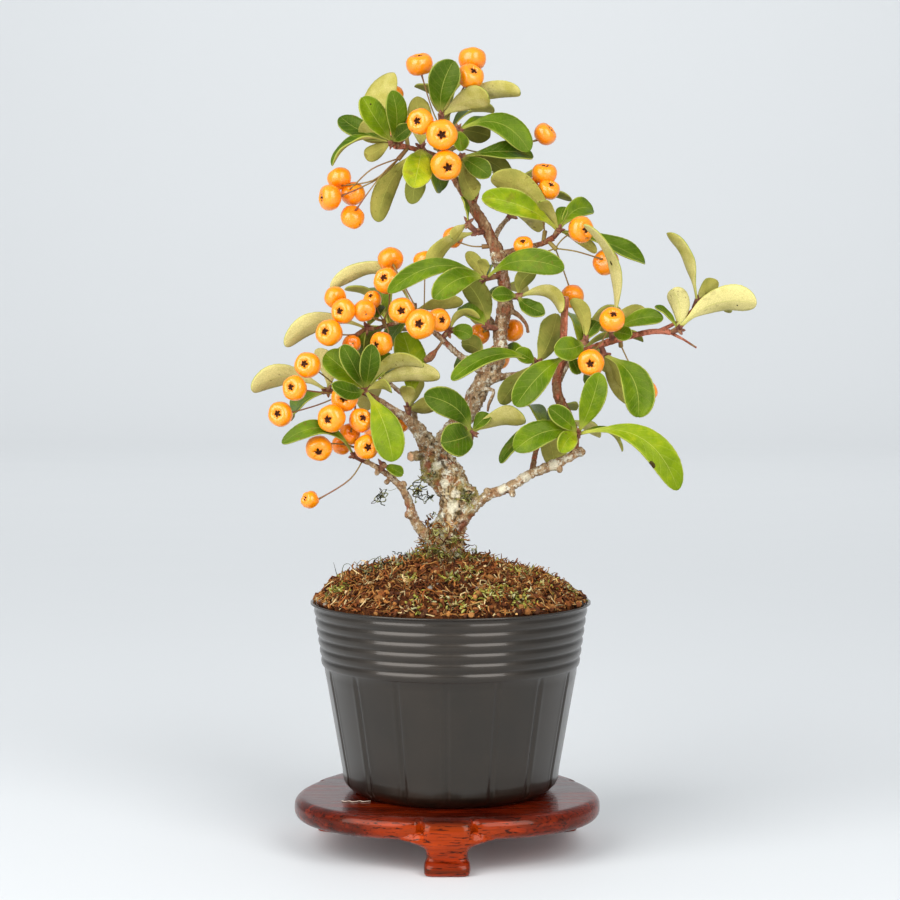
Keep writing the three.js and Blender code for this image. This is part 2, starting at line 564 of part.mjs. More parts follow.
// One berry on its stalk. The row is x, z, depth, radius, and the way its eye looks: to the
// right, up, and 1 towards the viewer or -1 away.
function stalkedBerry(hub, [x, z, depth, radius, right, up, toViewer]) {
  const centre = place(x, z, depth);
  const ahead = Math.sqrt(Math.max(0, 1 - right * right - up * up));
  const eye = new THREE.Vector3(right, -toViewer * ahead, up).normalize();
  const foot = centre.clone().addScaledVector(eye, -BERRY_FOOT * radius);
  const middle = foot.clone().lerp(hub, 0.5).addScaledVector(eye, -0.16 * foot.distanceTo(hub));
  const start = hub.clone().addScaledVector(middle.clone().sub(hub).normalize(), STALK_ROOT);
  const stalk = rodRings([start, middle, foot], Array(3).fill(STALK_RADIUS), BERRY_SIDES / 2);
  const across = stalk[2][0].clone().sub(foot);
  across.addScaledVector(eye, -across.dot(eye)).normalize();
  const over = eye.clone().cross(across);
  const rings = BERRY_RINGS.map(([share, height]) => {
    const middleOfRing = centre.clone().addScaledVector(eye, height * radius);
    return ringOf(middleOfRing, across, over, share * radius, share ? BERRY_SIDES : 1);
  });
  return skin([...stalk, ...rings]);
}

// The bunches of berries: the wood that each grows from, the place where its stalks meet, and
// its berries.
const BUNCHES = {
  crown_top: {
    root: [-2.6, 227.5, 0.8, 0.9],
    hub: [-3.6, 229.6, 4],
    berries: [
      [-9.8, 248.7, 3, 4.3, -0.15, 0.94, 1], [6.8, 250.2, 5, 4.5, 0.05, 0.96, -1],
      [6.2, 244.9, -2, 4.3, 0.4, 0.62, 1],
    ],
  },
  crown_front: {
    root: [-1.2, 221, 1, 1],
    hub: [-4.6, 222.4, -3],
    berries: [
      [-9.5, 230.8, -13, 4.2, -0.42, 0, 1], [-2.8, 226.7, -15, 4.9, 0, -0.1, 1],
      [-1.5, 217.1, -13, 4.9, 0.2, -0.32, 1],
    ],
  },
  crown_far_left: {
    root: [-13.5, 222.6, 1.5, 0.9],
    hub: [-16.4, 219.2, 0.4],
    berries: [
      [-35.4, 212.6, -1, 3.9, -0.3, 0.85, -1], [-38.3, 206.8, -6, 4.2, -0.94, -0.02, 1],
      [-31.2, 208.1, 0, 3.9, 0.3, -0.45, -1], [-31.2, 200.7, -4, 3.9, -0.35, -0.75, -1],
    ],
  },
  crown_back: {
    root: [-13.5, 222.6, 1.5, 0.9],
    hub: [-14, 225.4, 5],
    berries: [
      [-18.1, 239.2, 8, 3.2, -0.2, 0.9, -1], [-16, 229, 20, 4.2, -0.2, 0.3, -1],
    ],
  },
  crown_single: {
    root: [-1, 221.5, 1, 1],
    hub: [1.8, 222.8, 5],
    berries: [[29.9, 226.7, 3, 3.8, 0.7, 0.66, 1]],
  },
  upper_right_top: {
    root: [29.5, 192.3, -3, 0.9],
    hub: [30, 195.6, -0.8],
    berries: [
      [29.9, 214.2, -1, 4, 0.08, 0.95, 1], [31.2, 209.2, -3, 3.5, 0.35, 0.7, 1],
      [25.1, 209.7, 1, 3.4, -0.4, 0.5, -1],
    ],
  },
  upper_right: {
    root: [31, 193.1, -3.2, 1],
    hub: [33.4, 190.6, -4.4],
    berries: [
      [41.4, 196.6, -10, 4.2, 0.6, 0, 1], [23.2, 191.5, -6, 3.1, -0.1, 0.7, 1],
      [49.4, 186.3, -3, 4.2, 0.4, -0.3, -1], [38.8, 175.5, 2.5, 3.9, 0.2, -0.75, 1],
    ],
  },
  right_low: {
    root: [46, 159.2, -2.8, 1.05],
    hub: [45.8, 158, -6],
    berries: [[51.6, 167.8, -13, 4.1, 0.1, 0.7, 1], [44.9, 154.3, -12.5, 4.3, -0.15, -0.15, 1]],
  },
  right_far: {
    root: [57.6, 162.7, -1, 1],
    hub: [58, 161, 0.6],
    berries: [[62.6, 145.1, 0, 3.6, 0.4, -0.4, -1]],
  },
  left_top: {
    root: [-8.5, 166.6, -4, 0.9],
    hub: [-8.6, 167.4, -6.6],
    berries: [
      [-19.1, 187, 3, 4.1, -0.3, 0.6, -1], [-8.2, 186.3, 2, 3.8, 0, 0.9, -1],
      [-15.6, 170.9, -12, 4.2, -0.02, -0.05, 1], [-9.5, 166.5, -16, 4.8, -0.18, 0.05, 1],
      [-3.9, 167.8, -10, 3.8, 0.5, 0, 1],
    ],
  },
  left_middle: {
    root: [-21, 166, -2, 0.7],
    hub: [-21.4, 167.4, -3.8],
    berries: [
      [-20.4, 180.2, -5, 4.2, -0.35, 0.4, 1], [-36.7, 174.9, -5, 3.6, -0.5, 0.3, -1],
      [-34.1, 170.7, -10, 4, -0.5, -0.02, 1], [-27.5, 170.7, -9, 3.6, -0.2, 0.4, -1],
      [-24.9, 174.2, -3, 3, -0.3, 0.7, 1], [-22, 160.4, -11, 3.8, -0.7, -0.2, 1],
    ],
  },
  left_edge: {
    root: [-27.5, 164.9, -2, 0.65],
    hub: [-29.6, 163.4, -4.4],
    berries: [[-38.7, 163.7, -12, 4.3, -0.5, 0.18, 1], [-31.6, 160.2, -5, 3, -0.2, 0, -1]],
  },
  left_low: {
    root: [-33.4, 145.1, -2.5, 0.75],
    hub: [-34.2, 144.2, -5],
    berries: [
      [-45.6, 153.4, -10, 4.2, -0.38, 0.18, 1], [-49.8, 146, -12, 4, -0.48, 0.18, 1],
      [-54.4, 137.7, -9, 4, -0.35, 0.1, 1],
    ],
  },
  left_front: {
    root: [-30, 144.8, -3.8, 0.8],
    hub: [-30.4, 142, -5.6],
    berries: [
      [-38, 136.4, -16, 4.5, -0.42, -0.1, 1], [-33.9, 142.8, -11, 4.3, -0.05, 0.02, 1],
      [-28.8, 135.6, -12, 3.9, 0.35, 0.4, 1], [-32.3, 131.4, -8, 3.4, -0.2, -0.3, -1],
    ],
  },
  low_left: {
    root: [-26.5, 122.2, -6.3, 0.8],
    hub: [-27, 125.4, -7],
    berries: [
      [-27, 127.2, -14, 4, 0.25, 0, 1], [-42.2, 126.9, -10, 4.2, 0, -0.45, 1],
      [-34.9, 127.9, 0, 3.2, -0.3, -0.2, -1], [-45, 110.2, -11, 3.1, -0.8, 0.25, 1],
    ],
  },
  leader_left: {
    root: [13.9, 191.4, 0, 2.2],
    hub: [10.4, 191.2, 0],
    berries: [[0.8, 194, 4, 3.4, -0.3, 0.5, -1]],
  },
  leader_back: {
    root: [15.9, 166.5, 1, 2.3],
    hub: [17.5, 167, 5],
    berries: [
      [9.4, 163.4, 6, 3.4, -0.5, -0.3, -1], [19.8, 164.6, 7, 3.6, 0.5, -0.3, -1],
      [15, 156, 15, 4.2, 0, -0.6, -1],
    ],
  },
  left_limb_back: {
    root: [-17.5, 138.6, -3, 1.2],
    hub: [-17.2, 137.6, 0.4],
    berries: [[-16, 135.4, 5, 3.4, 0.2, -0.4, -1], [-24, 133, 14, 4, -0.2, -0.5, -1]],
  },
};

// A bunch's short stem and the berries on their stalks.
function bunch({ root, hub, berries }) {
  const meeting = place(...hub);
  const hung = berries.map((row) => stalkedBerry(meeting, row));
  return joined([stem(root, [meeting], STALK_KNOB_RADIUS), ...hung]);
}

// The pot
const POT_FLOOR = STAND_TOP + SEAT_GAP;
const POT_TOP = POT_FLOOR + POT_HEIGHT;
const POT_SIDES = 32;
const GROOVES = 16;
const GROOVE_DEPTH = 0.45;
const WAIST_HEIGHT = POT_FLOOR + 4;
const BAND_BOTTOM = POT_FLOOR + 40.3;
const RIBS = 6;
const RIB_SPACING = 3.2;
const RIB_DEPTH = 0.55;
const LIP = 1.3;
const PLAIN_WALL_ROWS = [3, 4];
const MIDDLE_DRAIN = 6;
const SMALL_DRAIN = 3;
const DRAIN_CIRCLE = 20;

// The pot's outer radius at a height in its ribbed band.
function bandRadius(height) {
  const share = (height - BAND_BOTTOM) / (POT_TOP - BAND_BOTTOM);
  return THREE.MathUtils.lerp(POT_BAND_RADIUS, POT_RIM_RADIUS - LIP, share);
}

function potOutline() {
  const outline = [[0, POT_FLOOR], [POT_FOOT_RADIUS, POT_FLOOR], [POT_FOOT_RADIUS + 1.8, POT_FLOOR + 1.4]];
  outline.push([POT_WAIST_RADIUS, WAIST_HEIGHT]);
  for (let rib = 0; rib < RIBS; rib++) {
    const height = BAND_BOTTOM + rib * RIB_SPACING;
    outline.push([bandRadius(height), height]);
    outline.push([bandRadius(height) + RIB_DEPTH, height + 0.55 * RIB_SPACING]);
  }
  outline.push([POT_RIM_RADIUS - LIP, POT_TOP - 0.9], [POT_RIM_RADIUS, POT_TOP - 0.7]);
  outline.push([POT_RIM_RADIUS, POT_TOP]);
  outline.push([POT_RIM_RADIUS - LIP - POT_WALL, POT_TOP - 0.2]);
  outline.push([POT_BAND_RADIUS - POT_WALL, BAND_BOTTOM], [POT_WAIST_RADIUS - POT_WALL, WAIST_HEIGHT]);
  outline.push([POT_FOOT_RADIUS - POT_WALL, POT_FLOOR + POT_WALL], [0, POT_FLOOR + POT_WALL]);
  return outline.map(([radius, height]) => new THREE.Vector2(radius, height));
}

// Presses the upright grooves into the plain wall below the ribs.
function pressGrooves(geometry) {
  const position = geometry.attributes.position;
  const rows = position.count / (POT_SIDES + 1);
  for (let side = 0; side <= POT_SIDES; side += POT_SIDES / GROOVES) {
    for (const row of PLAIN_WALL_ROWS) {
      const i = side * rows + row;
      const radius = Math.hypot(position.getX(i), position.getZ(i));
      const share = (radius - GROOVE_DEPTH) / radius;
      position.setXYZ(i, position.getX(i) * share, position.getY(i), position.getZ(i) * share);
    }
  }
}

// Stands a thing that was made along +Y up along +Z.
function upright(geometry) {
  return geometry.rotateX(Math.PI / 2);
}

// An upright peg through the pot's floor, to cut a drain hole.
function drainPeg(radius, x, y) {
  const height = 3 * POT_WALL;
  const geometry = upright(new THREE.CylinderGeometry(radius, radius, height, 10));
  return geometry.translate(x, y, POT_FLOOR + POT_WALL / 2);
}

function pot() {
  const shell = new THREE.LatheGeometry(potOutline(), POT_SIDES);
  pressGrooves(shell);
  const drain = [drainPeg(MIDDLE_DRAIN, 0, 0)];
  for (let k = 0; k < 4; k++) {
    const angle = ((k + 0.5) * Math.PI) / 2;
    drain.push(drainPeg(SMALL_DRAIN, DRAIN_CIRCLE * Math.cos(angle), DRAIN_CIRCLE * Math.sin(angle)));
  }
  return drain.map(solidOf).reduce((whole, hole) => whole.subtract(hole), solidOf(upright(shell)));
}

// The soil fills the pot and stands over the rim in a low mound.
const SOIL_SIDES = 20;
const MOUND = [[41.9, -13.9], [41.2, -12.2], [37, -9], [30, -6], [20, -3.2], [11, -1], [4, -0.2], [0, 0]];

function soil() {
  const inner = POT_WALL + 0.45;
  const outline = [[0, POT_FLOOR + inner], [POT_FOOT_RADIUS - inner, POT_FLOOR + inner]];
  outline.push([POT_WAIST_RADIUS - inner, WAIST_HEIGHT], [POT_BAND_RADIUS - inner, BAND_BOTTOM]);
  for (const [radius, drop] of MOUND) outline.push([radius, SOIL_CROWN + drop]);
  const points = outline.map(([radius, height]) => new THREE.Vector2(radius, height));
  const geometry = upright(new THREE.LatheGeometry(points, SOIL_SIDES));
  const position = geometry.attributes.position;
  for (let i = 0; i < position.count; i++) {
    const [x, y, height] = [position.getX(i), position.getY(i), position.getZ(i)];
    if (height < POT_TOP + 1) continue;
    const lump = 0.7 * Math.sin(0.31 * x + 1) * Math.cos(0.27 * y) + 0.5 * Math.sin(0.8 * x - 0.6 * y);
    position.setZ(i, height + lump - 0.02 * x);
  }
  return solidOf(geometry).subtract(solidOf(trunkRod(SEAT_GAP + 0.1)));
}

// The stand: a board with three shallow lobes and a carved foot in each hollow between them.
const BOARD_POINTS = 30;
const FEET = 3;
const FOOT_FRONT = 46.4;

function boardRadius(angle) {
  return BOARD_MEAN_RADIUS + BOARD_LOBE * Math.cos(FEET * (angle + Math.PI / 6));
}

function board() {
  const round = 2.2;
  const outline = [];
  for (let k = 0; k < BOARD_POINTS; k++) {
    const angle = (2 * Math.PI * k) / BOARD_POINTS;
    const radius = boardRadius(angle) - round;
    outline.push(new THREE.Vector2(radius * Math.cos(angle), radius * Math.sin(angle)));
  }
  const bevel = { bevelThickness: round, bevelSize: round, bevelSegments: 2 };
  const geometry = new THREE.ExtrudeGeometry(new THREE.Shape(outline), {
    depth: BOARD_THICKNESS - 2 * round,
    ...bevel,
  });
  return geometry.translate(0, 0, STAND_TOP - BOARD_THICKNESS + round);
}

// A foot is the overlap of its outlines from the front, from the side and from above.
const FOOT_FRONT_OUTLINE = [
  [6.7, FLOOR], [7, 0.8], [6.4, 3.8], [7.1, 6.2], [9.2, 8.2], [12.5, 9.4], [17, 10], [17, 12],
];
const FOOT_SIDE_OUTLINE = [
  [39.5, FLOOR], [FOOT_FRONT, FLOOR], [FOOT_FRONT + 0.7, 0.8], [FOOT_FRONT - 0.4, 3.5],
  [FOOT_FRONT - 0.8, 6.2], [FOOT_FRONT, 9.4], [FOOT_FRONT, 12], [30, 12], [33, 9.4], [37.5, 4.5],
];
// Seen from above, the flared top of a foot draws back to the edge of the board.
const FLARE_OUTLINE = [
  [-18, -30], [-18, -42.6], [-13, -44], [-8.4, -47.5], [8.4, -47.5], [13, -44], [18, -42.6], [18, -30],
];
const TONGUE_OUTLINE = [
  [38, 11], [FOOT_FRONT, 9.2], [FOOT_FRONT + 0.5, 12], [FOOT_FRONT, 14.4], [FOOT_FRONT - 1.4, 16], [38, 16],
];
const TONGUE_HALF_WIDTH = 6.6;

function prism(outline, depth) {
  const points = outline.map(([across, up]) => new THREE.Vector2(across, up));
  return new THREE.ExtrudeGeometry(new THREE.Shape(points), { depth, bevelEnabled: false });
}

// A prism standing along the foot, from an outline seen from the side.
function sidePrism(outline, halfWidth) {
  return upright(prism(outline, 2 * halfWidth)).rotateZ(-Math.PI / 2).translate(halfWidth, 0, 0);
}

function foot() {
  const mirrored = FOOT_FRONT_OUTLINE.map(([across, up]) => [-across, up]).reverse();
  const fromFront = upright(prism([...FOOT_FRONT_OUTLINE, ...mirrored], 60));
  const fromAbove = prism(FLARE_OUTLINE, 16).translate(0, 0, FLOOR - 1);
  let body = solidOf(fromFront).intersect(solidOf(sidePrism(FOOT_SIDE_OUTLINE, 20)));
  body = body.intersect(solidOf(fromAbove));
  body = body.add(solidOf(sidePrism(TONGUE_OUTLINE, TONGUE_HALF_WIDTH)));
  for (const side of [-1, 1]) {
    const scroll = new THREE.CylinderGeometry(1.7, 1.7, 6, 9);
    scroll.translate(7.7 * side, -FOOT_FRONT + 2.6, 10.3);
    body = body.add(solidOf(scroll));
  }
  return body;
}

function stand() {
  let body = solidOf(board());
  for (let k = 0; k < FEET; k++) body = body.add(foot().rotate([0, 0, (360 * k) / FEET]));
  return body.translate([STAND_SHIFT, 0, 0]);
}

// Sets the whole part with the middle of its box over the origin and its feet on the floor.
function centred(group) {
  const box = new THREE.Box3().setFromObject(group);
  const middle = box.getCenter(new THREE.Vector3());
  group.position.set(-middle.x, -middle.y, -box.min.z);
  return group;
}

function bonsai() {
  const group = new THREE.Group();
  group.add(meshOf("stand", stand(), COLOUR.stand, 0.25));
  group.add(meshOf("pot", pot(), COLOUR.pot, 0.45));
  group.add(meshOf("soil", soil(), COLOUR.soil, 0.95));
  group.add(meshOf("trunk_and_branches", wood(), COLOUR.bark, 0.85));
  for (const [name, row] of Object.entries(SPRAYS)) {
    group.add(meshOf(`leaves_${name}`, spray(row), COLOUR.leaf, 0.4));
  }
  for (const [name, row] of Object.entries(BACK_SPRAYS)) {
    group.add(meshOf(`leaves_${name}`, backSpray(row), COLOUR.leaf, 0.4));
  }
  for (const [name, row] of Object.entries(BUNCHES)) {
    group.add(meshOf(`berries_${name}`, bunch(row), COLOUR.berry, 0.3));
  }
  return centred(group);
}

export default bonsai();
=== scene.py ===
"""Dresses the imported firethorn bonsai: its leaves, berries, bark, soil, pot and carved stand."""

import math
import random

import bmesh
import bpy
from bpy.props import FloatProperty, FloatVectorProperty, IntProperty, PointerProperty
from mathutils import Matrix, Vector, kdtree, noise


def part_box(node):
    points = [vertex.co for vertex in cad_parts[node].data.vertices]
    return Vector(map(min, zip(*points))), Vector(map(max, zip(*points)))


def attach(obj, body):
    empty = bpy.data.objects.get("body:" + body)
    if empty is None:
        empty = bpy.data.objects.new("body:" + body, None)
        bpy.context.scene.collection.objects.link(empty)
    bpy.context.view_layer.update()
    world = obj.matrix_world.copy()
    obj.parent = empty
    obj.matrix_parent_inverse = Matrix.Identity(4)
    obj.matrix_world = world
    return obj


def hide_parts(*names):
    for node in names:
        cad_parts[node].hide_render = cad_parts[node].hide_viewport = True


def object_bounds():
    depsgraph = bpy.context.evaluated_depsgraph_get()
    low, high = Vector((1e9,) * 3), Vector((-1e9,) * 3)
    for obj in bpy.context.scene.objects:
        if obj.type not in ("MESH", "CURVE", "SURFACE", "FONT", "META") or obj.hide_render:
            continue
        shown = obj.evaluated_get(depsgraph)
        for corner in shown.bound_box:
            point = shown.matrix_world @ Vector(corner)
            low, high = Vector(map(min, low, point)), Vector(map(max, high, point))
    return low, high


bl_info = {
    "name": "Firethorn bonsai",
    "version": (1, 0, 0),
    "blender": (4, 5, 0),
    "location": "3D View > Sidebar > Firethorn",
    "description": "A firethorn bonsai in a ribbed nursery pot on a carved three-footed stand",
    "category": "Object",
}

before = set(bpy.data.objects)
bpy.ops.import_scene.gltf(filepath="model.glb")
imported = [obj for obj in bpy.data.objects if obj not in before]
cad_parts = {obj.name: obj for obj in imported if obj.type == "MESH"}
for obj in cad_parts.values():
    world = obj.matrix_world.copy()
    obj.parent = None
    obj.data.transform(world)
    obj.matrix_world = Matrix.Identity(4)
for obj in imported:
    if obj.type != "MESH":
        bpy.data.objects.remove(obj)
CAD_LOW, CAD_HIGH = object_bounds()

# The tree is set out in millimetres from the pot's axis. The feet stand a little below its zero.
MM = 0.001
FEET_BOTTOM = -1.2
POT_LOW, POT_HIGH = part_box("pot")
POT_AXIS = Vector(((POT_LOW.x + POT_HIGH.x) / 2, (POT_LOW.y + POT_HIGH.y) / 2, CAD_LOW.z - FEET_BOTTOM * MM))
BODY = "root"

# A place is seen from the front at x and z, a depth behind the upright plane of the trunk.
EYE = Vector((-0.2, -750, 171.3))
TO_VIEWER = Vector((0, -1, 0))
UP = Vector((0, 0, 1))


def place(x, z, depth):
    """Where a thing lies that is seen at x and z, a depth behind the plane of the trunk."""
    return EYE + (Vector((x, 0, z)) - EYE) * ((depth - EYE.y) / -EYE.y)


def colour(digits):
    """A linear colour from its six hexadecimal digits."""
    shares = [int(digits[i:i + 2], 16) / 255 for i in (0, 2, 4)]
    return tuple(s / 12.92 if s <= 0.04045 else ((s + 0.055) / 1.055) ** 2.4 for s in shares)


def mix(first, second, share):
    """A number between two others."""
    return first + (second - first) * share


def bell(off, width):
    """1 in the middle of a width, falling smoothly to 0 on each side of it."""
    return math.exp(-(off / width) ** 2)


def smooth_step(low, high, value):
    """Rises smoothly from 0 at low to 1 at high."""
    share = min(max((value - low) / (high - low), 0), 1)
    return share * share * (3 - 2 * share)


def curve_at(table, value):
    """The height over a value of the curve through a table of pairs."""
    for (x0, y0), (x1, y1) in zip(table, table[1:]):
        if value <= x1:
            return mix(y0, y1, (value - x0) / (x1 - x0))
    return table[-1][1]


# Each limb is a row of x, z, depth and radius, from its root outwards.
TRUNK = [
    (-2.6, 79, 0, 6.4), (-2.4, 87, 0, 7.4), (-2.5, 94, 0, 5.9), (-0.4, 101, 0, 5.2), (1.4, 108, 0, 4.8),
    (0.6, 114, 0, 5.4), (-3.6, 120.5, 0, 5.7), (-6.4, 126, 0, 4.1),
]
LIMBS = {
    "left": [
        (-6, 124.5, 0, 3.9), (-8.4, 130, -0.5, 2.7), (-12.5, 135, -1.5, 2), (-17.5, 138.6, -3, 1.2),
        (-22, 141.6, -4, 0.95), (-27, 144.3, -5, 0.9), (-32, 145, -3, 0.75), (-37, 145, -1, 0.7),
    ],
    "leader": [
        (-5.5, 123.5, 0.5, 4), (-0.8, 130, 1.5, 3.6), (4, 136.6, 2, 3.4), (7.4, 142, 2, 3.3),
        (10, 147.5, 1.5, 3), (13.8, 153, 1, 2.8), (15.8, 158, 1, 2.5), (15.8, 164, 1, 2.3),
        (17, 170.5, 1, 2.45), (17.3, 176, 1, 2.2), (16.6, 182, 0.5, 2), (15.4, 187.8, 0, 2.6),
        (13, 193.5, 0, 1.95), (10.1, 199, 0, 1.85), (7, 204, 0, 1.8), (4.2, 208.5, 0, 1.6),
        (1.5, 212.5, 0.5, 1.3), (-0.5, 218, 1, 1.1), (-2, 224.5, 1, 1), (-3, 230, 0.5, 0.8),
    ],
    "low_left": [
        (-2, 94, -1, 2.6), (-7.2, 98.3, -2, 2), (-11.6, 103.5, -3, 1.6), (-13.4, 109.8, -4, 1.4),
        (-16, 114.4, -5, 1.2), (-20.3, 118.4, -5.5, 1), (-24.8, 121.4, -6, 0.9), (-28, 122.7, -6.5, 0.7),
    ],
    "low_right": [
        (1.5, 102, -1, 3.4), (6.6, 107.4, -2, 2.2), (11.6, 111.4, -3, 1.7), (19, 114.4, -4, 1.75),
        (24.4, 117.8, -4.5, 1.6), (31.2, 120.8, -5, 1.6), (36.4, 122.9, -5.5, 1.5), (41, 125.4, -6, 1.35),
    ],
    "right": [
        (38.5, 124.3, -5.5, 1.1), (40.2, 128, -5.5, 0.95), (39.8, 132.5, -5.5, 1.05),
        (37.6, 137.6, -5, 1.4), (34.8, 142.5, -5, 1.7), (33.9, 147.5, -5, 1.6), (34.6, 151.8, -4.5, 1.4),
        (37.4, 156, -4, 1.1), (42.6, 158, -3.5, 1), (50, 160.6, -2, 1.15), (57.6, 162.7, -1, 1),
        (65, 164.2, 0, 0.95), (70.4, 163.9, 0, 1),
    ],
    "right_tip": [
        (66.5, 164.4, 0, 0.7), (71.4, 166.6, 0.8, 0.6), (74.8, 168.8, 2, 0.5), (77.6, 171.4, 3, 0.6),
    ],
    "right_tip_thorn": [(70.2, 163.8, 0, 0.6), (74.4, 161.6, 0, 0.4), (78.6, 159, 0, 0.3)],
    "red_stub": [(36, 154.5, -4.3, 1.2), (36.1, 163, -4.5, 1.25), (36.6, 175.4, -5, 1.2)],
    "upper_right": [
        (16, 188.4, 0, 1.7), (20.4, 189.9, -1, 1.05), (25.5, 191, -2, 0.95), (29.5, 192.3, -3, 0.9),
        (32.8, 194, -3.5, 1.1),
    ],
    "mid_left": [
        (11.5, 150.5, 1, 1.8), (6.5, 153.8, -2, 1.15), (1.2, 158, -4, 1.05), (-5.5, 164.3, -5, 1),
        (-11, 168.2, -3, 0.85), (-18, 166.7, -2, 0.7), (-24.5, 165, -2, 0.65),
    ],
    "mid_right": [
        (10, 147.5, 1, 2), (15.6, 149.6, 0, 1.4), (21.5, 150.3, -1, 1.15), (25.5, 152.2, -1.5, 0.9),
    ],
    "crown_left": [
        (-0.8, 218.5, 1, 1), (-8, 221.2, 2, 0.9), (-13.5, 222.6, 1.5, 0.9), (-17.6, 223.2, 1, 1.2),
    ],
    "crown_thorn": [(-16.8, 223.2, 1, 0.75), (-23, 224.3, 5, 0.6), (-29, 226.2, 8, 0.3)],
    "crown_stub": [(6.6, 203.5, 0, 1.2), (7.7, 207, -1, 1.15), (8.6, 210.6, -1.5, 1)],
    "pink_stub": [(-8, 124.4, -2, 1.7), (-13.6, 124.2, -4, 1.5)],
    "bark_knob": [(3, 113.5, -2, 2.9), (7.5, 112.2, -2.5, 2)],
    "dark_knot": [(17, 171, -0.5, 2.2), (20.2, 171.6, -1, 1.9)],
    "right_twig": [
        (18.5, 171, 0, 1.2), (21.6, 169.4, -1, 0.75), (24, 166.6, -1, 0.65), (24.8, 163.6, -1, 0.6),
    ],
    "low_twig": [
        (8, 145.6, -1, 0.9), (13.7, 145.4, -2, 0.6), (12.4, 141.4, -3, 0.6), (11.8, 138.6, -3, 0.35),
    ],
    "short_snag": [(-28.5, 144.4, -5, 0.8), (-28.3, 149, -6, 0.8), (-28.6, 153.2, -6.5, 0.75)],
    "dried_bud": [
        (-2.4, 161.2, -4.6, 0.5), (-4.6, 158.2, -7, 0.55), (-6.4, 156, -8, 1.3), (-8.4, 154.6, -8.5, 0.9),
    ],
    "root_thorn": [(-7.5, 94, -2, 0.6), (-13.4, 92.2, -3.5, 0.35)],
    "back_crown": [(-1, 217, 1, 0.9), (0, 221, 8, 0.8), (0, 226, 15, 0.7)],
    "back_upper": [(13.6, 192, 0, 1.1), (15, 196, 8, 0.9), (18, 200, 15, 0.75)],
    "back_trunk": [(15.8, 161, 1, 1.4), (14, 166, 10, 1.05), (10, 171, 19, 0.8)],
    "back_mid_left": [(-9, 166.8, -4, 0.8), (-13, 165, 4, 0.8), (-18, 165, 12, 0.7)],
    "back_left": [(-11.5, 133.5, -1, 1.2), (-12.5, 141, 8, 0.95), (-20, 148, 16, 0.75)],
    "back_right": [(34, 147, -5, 1.1), (36.5, 152, 5, 0.9), (40, 157, 14, 0.75)],
    "back_low_right": [(26.2, 118.6, -4.7, 1.15), (27, 124.5, 3, 0.9), (29.2, 131.6, 12, 0.75)],
}


def spray(root, joints, *leaves):
    """A leafy spray: the wood that it grows from, its joints and its leaves.

    A leaf is the number of its joint, its tip's x, z and depth, its width, tilt, bend and sway,
    and its tone, which is partly the leaf's own colour and partly painted shade and light.
    """
    return {"root": root, "joints": joints, "leaves": leaves}


